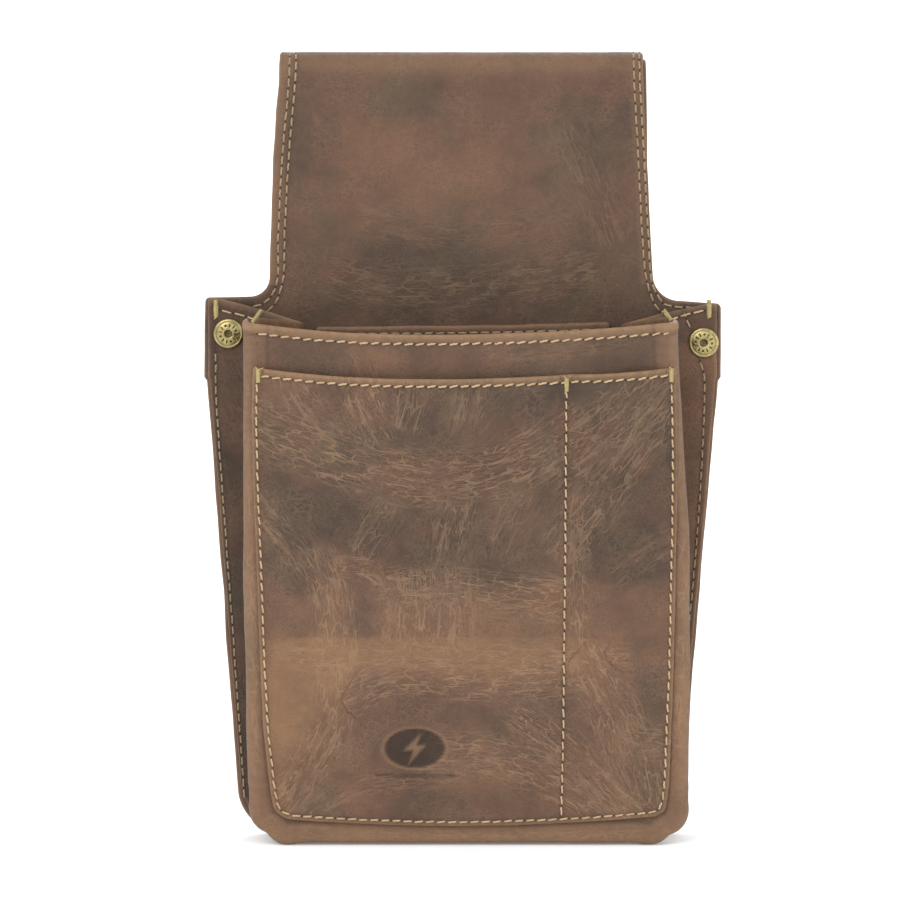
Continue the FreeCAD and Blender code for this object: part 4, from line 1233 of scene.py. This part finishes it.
def thread_finish(name, painted_light=1.0):
    """Waxed golden thread: three plies with painted shade in their hollows, each stitch a little different;
    painted_light below 1 makes a copy in painted shade.
    """
    n = Nodes(name)
    spot = n.field("strand", "Vector")
    along, around, chance = n.split(spot)
    ply = n.plus(n.times(along, 5.2), n.times(around, 3.0))
    twist = n.math("ABSOLUTE", n.math("SINE", n.times(ply, 0.5)))
    fuzz = n.noise(n.scaled(spot, (7, 1.6, 1)), 1.0, 4.0, 0.7)
    # painted shade in the hollows between the plies
    colour = n.mix(n.step(twist, 0.05, 0.75), wax(156, 120, 76, painted_light), wax(240, 208, 162, painted_light))
    colour = n.mix(n.step(fuzz, 0.35, 0.75, 0.0, 0.35), colour, wax(200, 158, 106, painted_light))
    colour = n.mix(n.step(chance, 0.35, 1.0, 0.0, 0.42), colour, wax(190, 150, 100, painted_light))
    n.shader.inputs["Sheen Weight"].default_value = 0.2
    rough = n.step(fuzz, 0.3, 0.7, 0.52, 0.74)
    return n.finish(colour, rough, n.plus(twist, n.times(fuzz, 0.5)), 0.0001, 0.7)


def tack_finish():
    """The denser yellow-gold thread of the bar tacks."""
    n = Nodes("bar_tack_thread")
    fuzz = n.noise(n.scaled(n.field("strand", "Vector"), (9, 2, 1)), 1.0, 4.0, 0.7)
    colour = n.mix(n.step(fuzz, 0.3, 0.7), hide(172, 146, 88), hide(222, 204, 140))
    return n.finish(colour, n.step(fuzz, 0.3, 0.7, 0.45, 0.7), fuzz, 0.0001, 0.6)


def needle_hole_shade():
    """The painted shade of a needle hole."""
    n = Nodes("needle_hole_shade")
    spot = n.field("strand", "Vector")
    colour = n.mix(n.noise(spot, 3.0, 2.0), srgb(34, 24, 18), srgb(58, 42, 32))
    return n.finish(colour, n.step(n.noise(spot, 5.0, 2.0), 0.3, 0.7, 0.8, 0.95))


def antique_brass():
    """Rubbed brass with dark brown-green left in its hollows."""
    n = Nodes("antique_brass")
    spot = n.field("flat", "Vector")
    cloud = n.noise(spot, 0.55, 4.0, 0.6)
    speck = n.noise(spot, 2.6, 4.0, 0.7)
    colour = n.mix(n.step(cloud, 0.35, 0.68), srgb(148, 133, 88), srgb(186, 172, 120))
    colour = n.mix(n.step(speck, 0.52, 0.75, 0.0, 0.55), colour, srgb(104, 92, 50))
    dirt = n.times(n.field("shade"), n.step(speck, 0.2, 0.6, 0.8, 1.0), True)
    colour = n.mix(dirt, colour, srgb(38, 34, 20))
    n.link(n.less(0.96, n.times(dirt, 0.55)), n.shader.inputs["Metallic"])
    rough = n.plus(n.step(cloud, 0.3, 0.7, 0.26, 0.42), n.times(dirt, 0.3))
    return n.finish(colour, rough, n.plus(speck, n.times(cloud, 0.6)), 0.00006, 0.5)


# ------------------------------------------------------------------ thread and rivets

STITCH_LONG, STITCH_WIDE, PITCH, NECK_PITCH = 3.15, 0.60, 3.65, 4.0
AROUND, ALONG = 12, 11


def ring_faces(rings, around):
    """Quads between rings of points that follow one another."""
    faces = []
    for k in range(rings - 1):
        for m in range(around):
            a = k * around + m
            b = k * around + (m + 1) % around
            faces.append((a, b, b + around, a + around))
    return faces


def ring_ends(rings, around):
    """The faces that close the first and the last ring."""
    return [tuple(range(around))[::-1], tuple(range((rings - 1) * around, rings * around))]


def stitch_form():
    """A stitch on its own: x along it and -1 to 1, y across, z up, with three plies twisted round it."""
    spots, facts = [], []
    for k in range(ALONG):
        x = -1 + 2 * k / (ALONG - 1)
        fat = max(0.0, 1 - abs(x) ** 5) ** 0.5
        for m in range(AROUND):
            angle = 2 * math.pi * m / AROUND
            ply = 1 + 0.13 * math.cos(3 * angle - 6.5 * x)
            spots.append((x, fat * ply * math.cos(angle), fat * ply * 0.72 * math.sin(angle)))
            facts.append((x, angle))
    return np.array(spots), ring_faces(ALONG, AROUND) + ring_ends(ALONG, AROUND), np.array(facts)


STITCH, STITCH_FACES, STITCH_FACTS = stitch_form()


class Thread:
    """Stitches, needle holes and bar tacks gathered in one mesh."""

    def __init__(self, name, seed):
        self.name = name
        self.chance = np.random.default_rng(seed + SEED)
        self.spots, self.faces, self.which, self.facts = [], [], [], []
        self.count = 0

    def add(self, spots, faces, which, facts):
        self.spots.append(spots)
        self.facts.append(facts)
        self.faces += [tuple(i + self.count for i in face) for face in faces]
        self.which += [which] * len(faces)
        self.count += len(spots)

    def strand(self, start, end, out, wide, arch=0.24, sink=0.16, which=0):
        """One stitch from start to end, arched off the skin that faces out."""
        middle = (start + end) / 2
        half = np.linalg.norm(end - start) / 2
        along = (end - start) / (2 * half)
        out = out - along * (out @ along)
        out = unit(out)
        across = np.cross(out, along)
        x, y, z = STITCH.T
        up = z * wide / 2 + arch * (1 - x**2) - sink * x**2
        spots = middle + np.outer(x * half, along) + np.outer(y * wide / 2, across) + np.outer(up, out)
        chance = self.chance.random()
        facts = points(x * half, STITCH_FACTS[:, 1], np.full(len(x), chance))
        self.add(spots, STITCH_FACES, which, facts)

    def hole(self, middle, along, out, size=0.35):
        """A needle hole: a dark lens of painted shade let into the leather."""
        across = np.cross(out, along)
        angles = np.linspace(0, 2 * math.pi, 11)[:-1]
        ring = [(math.cos(a) * size, math.sin(a) * size * 0.85, 0.03) for a in angles]
        form = np.array(ring + [(0, 0, 0.06), (0, 0, -0.3)])
        spots = middle + form @ np.stack([along, across, out])
        faces = [(m, (m + 1) % 10, 10) for m in range(10)] + [((m + 1) % 10, m, 11) for m in range(10)]
        self.add(spots, faces, 1, form + middle * 0.1)

    def row(self, sheet, line, pitch=PITCH, side=1, slant=0.0, wide=STITCH_WIDE, long=STITCH_LONG, skip=None):
        """Even stitches along a flat line on a sheet, with a needle hole between each and the next."""
        run = along_line(line)
        count = max(1, int(round(run[-1] / pitch)))
        pitch = run[-1] / count
        long = long * pitch / PITCH
        for n in range(count):
            middle = (n + 0.5) * pitch
            here = [np.interp(middle, run, line[:, k]) for k in (0, 1)]
            if skip is not None and skip(*here):
                continue
            reach = long / 2 * self.chance.uniform(0.93, 1.05)
            at = np.array([middle - reach, middle + reach, middle, n * pitch, n * pitch + 0.3])
            u = np.interp(at, run, line[:, 0])
            v = np.interp(at, run, line[:, 1])
            spots, out = sheet.skin(u, v, side)
            along = spots[1] - spots[0]
            across = np.cross(out[2], along)
            tilt = across * (slant + self.chance.uniform(-0.03, 0.03))
            shift = unit(across) * self.chance.uniform(-0.07, 0.07)
            self.strand(spots[0] - tilt + shift, spots[1] + tilt + shift, out[2], wide)
            ahead = spots[4] - spots[3]
            self.hole(spots[3] + out[3] * 0.02, unit(ahead), out[3])

    def tack(self, sheet, middle, lean_by, long=4.2, wide=1.55, tails=2):
        """A bar tack: a core of long strands bound by close turns across it, with cut ends left over."""
        along = np.array([math.sin(lean_by), math.cos(lean_by)])
        across = np.array([along[1], -along[0]])
        middle = np.array(middle)

        def on(a, b):
            places = np.array([middle + along * a, middle + along * b])
            spots, out = sheet.skin(places[:, 0], places[:, 1])
            return spots, out[0]

        for offset in (-0.4, 0.0, 0.4):
            spots, out = on(-long / 2, long / 2)
            side = sheet.skin(*(middle + across * offset)[:, None])[0][0] - sheet.skin(*middle[:, None])[0][0]
            self.strand(spots[0] + side, spots[1] + side, out, 0.6, 0.30, 0.1, 2)
        turns = int(long / 0.36)
        for n in range(turns):
            at = middle + along * (-long / 2 + long * (n + 0.5) / turns)
            skew = along * self.chance.uniform(-0.1, 0.1)
            ends = np.array([at - across * wide / 2 - skew, at + across * wide / 2 + skew])
            spots, out = sheet.skin(ends[:, 0], ends[:, 1])
            self.strand(spots[0] + out[0] * 0.1, spots[1] + out[0] * 0.1, out[0], 0.46, 0.52, 0.12, 2)
        for _ in range(tails):
            end = 1 if self.chance.random() > 0.4 else -1
            root = middle + along * end * long * 0.45 + across * self.chance.uniform(-0.5, 0.5)
            tip = root + across * self.chance.uniform(-1.6, 1.6) + along * end * self.chance.uniform(0.2, 1.2)
            spots, out = sheet.skin(np.array([root[0], tip[0]]), np.array([root[1], tip[1]]))
            self.strand(spots[0] + out[0] * 0.2, spots[1] + out[0] * 0.45, out[0], 0.34, 0.25, 0.0, 2)

    def build(self, materials):
        made = make_object(self.name, np.vstack(self.spots), self.faces, materials, self.which)
        store(made, "strand", np.vstack(self.facts))
        return made


DIMPLE = 1.15


def cap_profile():
    """(radius, height, darkness) from the middle of a rivet cap to its foot: dimple, dome, step and bead."""
    return [
        (0.0, 0.75, 1.0), (DIMPLE * 0.45, 0.75, 1.0), (DIMPLE * 0.8, 0.84, 0.9), (DIMPLE, 1.25, 0.75),
        (DIMPLE + 0.14, 1.56, 0.3), (DIMPLE + 0.4, 1.64, 0.05), (2.0, 1.60, 0.1), (2.8, 1.47, 0.1),
        (3.35, 1.33, 0.1), (3.75, 1.16, 0.35), (3.95, 1.06, 0.6), (4.1, 1.10, 0.25), (4.35, 1.14, 0.0),
        (4.62, 1.05, 0.0), (4.85, 0.80, 0.1), (4.97, 0.45, 0.3), (4.9, 0.12, 0.6), (4.6, 0.0, 0.9),
        (0.0, 0.0, 1.0),
    ]


def stamped(radius, angle):
    """1 on the marks stamped in a ring round a cap, twelve with every third a dot, and 0 off them."""
    twelfth = angle * 12 / (2 * math.pi)
    across = (twelfth % 1.0 - 0.5) * 2 * math.pi * radius / 12
    if int(twelfth % 12) % 3 == 2:
        reach = math.hypot(across, radius - 2.75) / 0.36
    else:
        reach = max(abs(across) / 0.17, abs(radius - 2.75) / 0.55)
    return float(smooth((1.25 - reach) * 2.2))


def rivet_cap(name, node, turn, material):
    """A domed cap with a dimple and a ring of plain ticks and dots stamped round it."""
    low, high = corners(node)
    middle = np.array([(low[0] + high[0]) / 2, high[1], (low[2] + high[2]) / 2])
    around = 144
    fine = []
    profile = cap_profile()
    for start, end in zip(profile, profile[1:]):
        steps = 6 if start[0] > 1.5 and end[0] < 3.8 and start[1] > 0 else 2
        fine += [tuple(a + (b - a) * k / steps for a, b in zip(start, end)) for k in range(steps)]
    rings = fine[1:]
    spots, shade = [], []
    for radius, height, dark in rings:
        for angle in np.arange(around) * 2 * math.pi / around:
            mark = stamped(radius, angle + turn) if height > 0.6 and radius > 1.5 else 0.0
            spots.append((radius * math.cos(angle), -(height - 0.24 * mark), radius * math.sin(angle)))
            shade.append(max(dark * 0.8, mark))
    faces = [(a, d, c, b) for a, b, c, d in ring_faces(len(rings), around)]
    # the middle and the foot are closed with fans
    last = len(spots)
    for m in range(around):
        after = (m + 1) % around
        faces.append((m, after, last))
        faces.append((last - around + after, last - around + m, last + 1))
    spots = np.array(spots + [(0.0, -0.75, 0.0), (0.0, 0.0, 0.0)])
    made = make_object(name, spots + middle, faces, [material])
    store(made, "flat", spots + turn)
    store(made, "shade", np.array(shade + [1.0, 1.0]))
    return made


def rivet_stud(name, node, material):
    """The stud's flat rear disc with a rounded edge and a shallow middle, and the neck through the leather."""
    low, high = corners(node)
    middle = np.array([(low[0] + high[0]) / 2, 0.0, (low[2] + high[2]) / 2])
    rear = high[1]
    reach = (high[0] - low[0]) / 2
    outline = [
        (0.5, rear - 0.35), (1.3, rear - 0.32), (1.6, rear - 0.08), (2.2, rear), (reach * 0.85, rear - 0.06),
        (reach * 0.96, rear - 0.3), (reach, rear - 0.6), (reach * 0.96, LEATHER + 0.05), (1.5, LEATHER + 0.02),
        (1.38, LEATHER - 0.4), (1.38, -1.2), (0.5, -1.3),
    ]
    around = 48
    angles = np.arange(around) * 2 * math.pi / around
    spots = np.vstack([points(r * np.cos(angles), y + 0 * angles, r * np.sin(angles)) for r, y in outline])
    faces = ring_faces(len(outline), around) + ring_ends(len(outline), around)
    made = make_object(name, spots + middle, faces, [material])
    store(made, "flat", spots)
    store(made, "shade", np.repeat([0.7, 0.5, 0.4, 0, 0, 0, 0.3, 0.9, 1, 1, 1, 1], around))
    return made


# ------------------------------------------------------------------ where each leather is dark or worn


def patches(u, v, spots):
    """The sum of soft blotches, each (u, v, half width, half height, amount)."""
    total = np.zeros(len(u))
    for x, z, wide, tall, amount in spots:
        total += amount * np.exp(-(((u - x) / wide) ** 2) - ((v - z) / tall) ** 2)
    return total


def cut_edge(edge, amount=0.5, reach=0.9):
    return amount * smooth(1 - edge / reach)


def strip(below, deep):
    """A turned strip along a mouth: worn all over, with wear and a painted highlight most along its top edge, and a
    little wear along its foot.
    """
    # top: painted highlight where light catches the turned top edge, on top of its wear
    top = 0.40 * bell(below - 0.35, 0.45)
    return 0.44 * smooth((deep - below) / 0.4) + top + 0.14 * bell(below - deep + 0.5, 0.35)


def paint_panel(u, v, edge):
    tone = patches(
        u, v,
        [
            (-20, 245, 60, 9, -0.12), (-50, 226, 12, 14, -0.12), (0, 218, 45, 16, 0.20), (-35, 200, 24, 12, 0.08),
            (-10, 184, 55, 14, -0.42), (45, 226, 18, 20, -0.14), (48, 196, 12, 24, -0.12), (0, 178, 26, 8, -0.22),
            (-76, 172, 10, 10, -0.40), (76, 172, 10, 10, -0.34), (0, FOLD_UP + 8, 70, 5, 0.10),
            (0, FOLD_OVER + 30, 60, 26, 0.10), (20, FOLD_OVER + 70, 50, 26, -0.15),
            (-30, 90, 50, 50, 0.1), (40, 40, 40, 30, -0.15),
        ],
    )
    margin = smooth(1 - (edge - 3.2) / 1.6) * (v > SHOULDER + 4)
    wear_and_highlight = cut_edge(edge, 0.45) + 0.26 * margin + 0.30 * bell(v - FOLD_UP - 5, 4.0) * smooth(edge / 3)
    warm = 0.25 * margin + 0.5 * bell(v - FOLD_UP, 9)
    return {"tone": tone, "wear_and_highlight": wear_and_highlight, "warm": warm, "shade": seams(u, v, neck_rows(), 0.28)}


def paint_front(u, v, edge):
    tone = patches(
        u, v,
        [
            (-25, 161, 12, 4, 0.30), (-60, 162, 10, 5, -0.05), (30, 163, 30, 5, 0.08), (0, 3, 60, 4, 0.50),
            (70, 60, 6, 60, 0.22), (66, 12, 8, 10, 0.25), (-66, 100, 5, 60, 0.22), (-64, 12, 8, 10, 0.2),
        ],
    )
    below = rim_height(u) - v
    out = past_spine(u, v)[0]
    streak = 0.12 * noise(out * 6, v, 12, 808) * smooth((out + 4) / 3)
    # wear and painted highlight along the rolled sides and bottom, and the turned rim strip with its painted top-edge
    # highlight
    wear_and_highlight = cut_edge(edge, 0.3) + strip(below, 3.2) + 0.46 * bell(out - 2.2, 2.0) + 0.16 * bell(out + 2.0, 2.4)
    wear_and_highlight = wear_and_highlight + streak + 0.14 * bell(v - 3, 5)
    shade = seams(u, v, [rim_row()]) + 0.34 * bell(out + 4.0, 0.6) + 0.2 * smooth((out - 6) / 3)
    warm = 0.2 * smooth((3.2 - below) / 0.5)
    return {"tone": tone, "wear_and_highlight": np.clip(wear_and_highlight, 0, 0.9), "warm": warm, "shade": np.clip(shade, 0, 0.6)}


def paint_patch(u, v, edge):
    tone = patches(
        u, v,
        [
            (0, 142, 90, 18, -0.36), (-58, 146, 12, 12, 0.08), (-20, 140, 10, 12, 0.10), (0, 122, 44, 7, -0.06),
            (-14, 104, 44, 13, -0.52), (-56, 92, 16, 12, -0.06), (22, 106, 12, 12, 0.12),
            (52, 132, 24, 20, -0.66), (56, 100, 16, 16, -0.60), (-2, 79, 32, 8, 0.10), (54, 78, 14, 8, -0.10),
            (-56, 56, 18, 20, 0.42), (-42, 70, 7, 20, 0.18), (-20, 64, 50, 6, 0.32), (20, 63, 40, 6, 0.26),
            (-62, 28, 10, 24, 0.46), (-42, 28, 18, 16, 0.16), (10, 40, 24, 10, -0.10), (46, 52, 14, 18, 0.26),
            (44, 26, 16, 16, 0.20), (62, 60, 7, 14, -0.10), (60, 20, 8, 8, -0.10), (-14, 12, 50, 5, -0.04),
            (34, 148, 6, 6, 0.06), (-10, 44, 14, 6, -0.05),
        ],
    )
    # two level lines below which the leather has pulled up paler
    crossing = smooth((70.3 + 0.4 * noise(u, v, 9, 812) - v) / 1.2) * smooth((v - 50) / 12)
    crossing = crossing * smooth((58 - np.abs(u + 6)) / 10)
    upper = smooth((88.6 + 0.4 * noise(u, v, 9, 813) - v) / 1.4) * smooth((v - 69) / 2) * smooth((u + 30) / 8)
    tone = tone + 0.26 * crossing + 0.14 * upper
    warm = patches(
        u, v,
        [
            (-10, 63, 48, 7, 0.45), (0, 123, 46, 7, 0.5), (24, 62, 24, 8, 0.35), (-62, 40, 10, 30, -0.2),
            (22, 104, 12, 14, 0.35), (-34, 84, 10, 10, 0.3), (-50, 150, 20, 10, 0.2), (10, 30, 30, 12, 0.2),
        ],
    )
    dull = patches(
        u, v,
        [
            (52, 134, 22, 22, 0.20), (56, 100, 14, 16, 0.14), (-10, 104, 44, 12, 0.12), (0, 124, 44, 8, 0.14),
            (-20, 142, 40, 12, 0.06),
        ],
    )
    below = patch_mouth(u) - v
    outside = smooth((1.9 - edge) / 0.7) * (below > 2.5)
    press = emblem_depth(u, v)
    reach = emblem_reach(u - EMBLEM[0], v - EMBLEM[1])
    # the turned mouth strip carries a painted highlight along its top edge
    wear_and_highlight = cut_edge(edge, 0.35, 0.7) + strip(below, 2.6) + 0.35 * outside
    # the raised ring round the pressed field is rubbed pale
    wear_and_highlight = wear_and_highlight + 0.35 * bell(reach - 1.0, 0.07) + 0.30 * (reach < 0.85) * (1 - press)
    shade = seams(u, v, [patch_seam(), patch_hem(), divider_line()]) + 0.72 * press + dull
    return {"tone": tone, "warm": warm, "wear_and_highlight": np.clip(wear_and_highlight, 0, 0.88), "shade": np.clip(shade, 0, 0.8)}


def paint_gusset(sheet, side):
    # painted shade: this tone sets how dark the flange and rear leaf look in shade, deep on the left gusset and
    # raised on the right
    dark = -0.50 if side < 0 else 0.28

    def paint(u, v, edge):
        below = np.interp(u, *sheet.heights) - v
        front = smooth((u - GUSSET_CREASES[1]) / 6)
        high = smooth((v - 158) / 8) * (1 - front)
        tone = dark * (1 - front) + 0.12 * front + noise(u, v, 26, 700 + side) * 0.1 - 0.50 * high
        wear_and_highlight = cut_edge(edge, 0.40, 0.8) + 0.22 * smooth((2.1 - below) / 0.5) + 0.2 * front
        wear_and_highlight = wear_and_highlight + 0.3 * bell(u - GUSSET_CREASES[1], 2.5)
        shade = seams(u, v, [sheet.seam, sheet.hem], 0.3) + 0.25 * bell(u - GUSSET_CREASES[0], 3.0)
        shade = shade + 0.14 * high
        return {"tone": tone, "wear_and_highlight": np.clip(wear_and_highlight, 0, 0.7), "shade": np.clip(shade, 0, 0.6)}

    return paint


def paint_inner(u, v, edge):
    top = smooth((v - INNER_TOP + 2.6) / 0.6)
    return {
        "tone": noise(u, v, 30, 720) * 0.15 - 0.05,
        "warm": 0.3 * top,
        "wear_and_highlight": np.clip(cut_edge(edge, 0.3) + 0.2 * top, 0, 0.6),
        "shade": seams(u, v, [inner_hem(), inner_sides()], 0.3),
    }


def paint_plain(u, v, edge):
    return {"tone": noise(u, v, 30, 740) * 0.15, "wear_and_highlight": cut_edge(edge, 0.4)}


# ------------------------------------------------------------------ the stage


def make_floor():
    n = Nodes("pale_floor")
    spot = n.new("TexCoord").outputs["Object"]
    n.shader.inputs["Emission Color"].default_value = (1, 1, 1, 1)
    n.shader.inputs["Emission Strength"].default_value = 0.16
    pale = n.mix(n.noise(spot, 0.6, 2.0), (0.93, 0.93, 0.93, 1), (0.95, 0.95, 0.95, 1))
    size = 30.0
    low = float(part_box("back_panel")[0].z) - 0.0004
    mesh = bpy.data.meshes.new("floor")
    round_it = [(-size, -size, low), (size, -size, low), (size, size, low), (-size, size, low)]
    mesh.from_pydata(round_it, [], [(0, 1, 2, 3)])
    mesh.materials.append(n.finish(pale, 0.9))
    floor = placed("floor", mesh)


def placed(name, data, place=None, facing=None):
    """An object in the scene, moved to a place and turned so that its -Z faces a direction."""
    made = bpy.data.objects.new(name, data)
    if place is not None:
        made.location = place
        made.rotation_mode = "QUATERNION"
        made.rotation_quaternion = facing.to_track_quat("-Z", "Y")
    bpy.context.scene.collection.objects.link(made)
    return made


def make_stage():
    """White surroundings and floor, and three soft lamps."""
    scene = bpy.context.scene
    scene.view_settings.view_transform = "Standard"
    scene.cycles.diffuse_bounces = 3
    scene.cycles.glossy_bounces = 2
    world = bpy.data.worlds.new("studio")
    scene.world = world
    world.use_nodes = True
    world.node_tree.nodes["Background"].inputs["Color"].default_value = (1, 1, 1, 1)
    world.node_tree.nodes["Background"].inputs["Strength"].default_value = 1.0
    make_floor()
    middle = Vector(to_frame([0.0, -10.0, 125.0]))
    lamp("key", middle + Vector((-0.9, -1.9, 1.5)), middle, 1.5, 34)
    lamp("fill", middle + Vector((1.6, -1.6, 0.5)), middle, 1.4, 11)
    lamp("back", middle + Vector((0.5, 2.2, 1.3)), middle, 1.4, 20)


def lamp(name, place, target, size, power):
    light = bpy.data.lights.new(name, "AREA")
    light.shape = "DISK"
    light.size = size
    light.energy = power
    placed(name, light, place, target - place)


def make_camera():
    """A long lens a little above the pouch's middle, looking slightly down at its front."""
    rise = math.radians(7.0)
    away = 4.0
    seen = 0.2962
    target = Vector(to_frame([-3.95, 0.0, 127.2]))
    data = bpy.data.cameras.new("camera")
    data.sensor_width = 36.0
    data.lens = data.sensor_width * away / seen
    data.clip_start = 0.1
    data.clip_end = 100.0
    back = Vector((0, -math.cos(rise), math.sin(rise)))
    bpy.context.scene.camera = placed("camera", data, target + back * away, -back)


# ------------------------------------------------------------------ putting it together


def belongs(made, body, slot, *nodes):
    """Rides a body and stands for its CAD nodes, which it hides; its material slot is not used."""
    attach(made, body)
    if nodes:
        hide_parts(*nodes)


def crosses(made, slot, *nodes):
    """For a piece that reaches between the back and the leaning front over the depth of the bellows: bakes its
    placement into its mesh, on no body, and hides its CAD nodes.
    """
    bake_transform(made)
    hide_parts(*nodes)


def sew(name, seed, finish, body, node, rows, **options):
    """One piece of stitching for a CAD node: its rows, each on a sheet and some on its flesh side."""
    sewn = Thread(name, seed)
    for sheet, line, *side in rows:
        sewn.row(sheet, line, side=side[0] if side else 1, **options)
    belongs(sewn.build(finish), body, "thread", node)


def make_side(side, name, panel, gusset_leather, brass, lit_finishes, shaded_finishes):
    """Everything on one side: the gusset, its seams and tacks, the neck's rows and the rivet."""
    gusset = gusset_sheet(side)
    crosses(gusset.build(gusset_leather, paint_gusset(gusset, side)), "gusset_leather", f"{name}_gusset")

    cap_up = 166.0 if side < 0 else 163.0
    rows = [(gusset, gusset.seam), (panel, side_seam(side) * (side, 1), -1)]
    clear = {"skip": lambda u, v: abs(v - cap_up) < 5.2}
    sew(f"{name}_side_seam_thread", 10 + side, shaded_finishes, "back", f"{name}_side_seam", rows, **clear)
    rows = [(gusset, gusset.hem)]
    sew(f"{name}_gusset_hem_thread", 20 + side, lit_finishes, "back", f"{name}_gusset_hem_stitching", rows)
    rows = [(panel, neck_row(side, outer)) for outer in (True, False)]
    apart = {"pitch": NECK_PITCH * 0.92, "wide": 0.62}
    sew(f"{name}_neck_thread", 30 + side, shaded_finishes, "back", f"{name}_neck_stitching", rows, **apart)

    tacks = Thread(f"{name}_shoulder_tacks", 40 + side)
    for x, under, lean_by, long, wide in ((80.9, 3.6, 0.0, 5.8, 1.3), (67.0, 6.0, 0.62, 5.2, 1.5)):
        up = SHOULDER - under
        tacks.tack(gusset, (float(flange_u(x, up)), up), lean_by, long, wide, 1)
    belongs(tacks.build(lit_finishes), "back", "thread", "shoulder_bar_tacks")

    cap = rivet_cap(f"{name}_rivet_cap_brass", f"{name}_rivet_cap", 0.4 + side, brass)
    belongs(cap, "back", "antique_brass", f"{name}_rivet_cap")
    stud = rivet_stud(f"{name}_rivet_stud_brass", f"{name}_rivet_stud", brass)
    belongs(stud, "back", "antique_brass", f"{name}_rivet_stud")


def main():
    make_camera()
    make_stage()
    body = leather("body_leather", lift=0.08, mottle=0.56, veins=0.7, seed=3.0)
    patch = leather("patch_leather", lift=-0.04, veins=1.0, seed=40.0)
    gusset_leather = leather("gusset_leather", lift=-0.08, veins=0.7, seed=77.0)
    lit_finishes = [thread_finish("golden_thread"), needle_hole_shade(), tack_finish()]
    # the thread of the side seams, neck, loop tail and inner pocket lies in shade: this darker copy of the golden
    # thread is painted shade
    shaded_finishes = [thread_finish("shaded_thread", 0.62)] + lit_finishes[1:]
    brass = antique_brass()

    panel = panel_sheet()
    belongs(panel.build(body, paint_panel), "back", "body_leather", "back_panel")
    belongs(lining_sheet().build(suede_lining(), paint_plain), "back", "lining_leather", "loop_lining")
    inner = inner_sheet()
    belongs(inner.build(body, paint_inner), "back", "body_leather", "inner_pocket")
    belongs(bottom_sheet().build(body, paint_plain), "back", "body_leather", "pocket_bottom")
    front = front_sheet()
    belongs(front.build(body, paint_front), "front", "body_leather", "pocket_front")
    pouch = patch_sheet()
    belongs(pouch.build(patch, paint_patch), "front", "patch_leather", "patch_pocket")

    for side, name in ((-1, "left"), (1, "right")):
        make_side(side, name, panel, gusset_leather, brass, lit_finishes, shaded_finishes)

    tails = [even(np.array([(-52.0, TAIL_FOOT - up), (52.0, TAIL_FOOT - up)]), 2.0) for up in (4.0, 15.0)]
    rows = [(panel, line) for line in tails]
    sew("loop_tail_thread", 50, shaded_finishes, "back", "loop_tail_stitching", rows, pitch=NECK_PITCH)
    rows = [(inner, inner_hem()), (inner, inner_sides()), (panel, inner_sides(), -1)]
    sew("inner_pocket_thread", 51, shaded_finishes, "back", "inner_pocket_hem_stitching", rows)
    hem = {"slant": 0.10, "wide": 0.66}
    sew("rim_thread", 52, lit_finishes, "front", "rim_stitching", [(front, rim_row())], **hem)
    seam = {"slant": 0.05}
    sew("patch_seam_thread", 53, lit_finishes, "front", "patch_seam_stitching", [(pouch, patch_seam())], **seam)
    rows = [(pouch, divider_line())]
    sew("patch_divider_thread", 54, lit_finishes, "front", "patch_divider_stitching", rows, **seam)
    sew("patch_hem_thread", 55, lit_finishes, "front", "patch_hem_stitching", [(pouch, patch_hem())], **hem)

    tacks = Thread("patch_tacks", 56)
    for x, up in ((-66.6, 155.8), (33.9, 152.8), (68.0, 156.0)):
        tacks.tack(pouch, (x, up), 0.0, 4.4, 1.6)
    belongs(tacks.build(lit_finishes), "front", "thread", "patch_bar_tacks")


main()
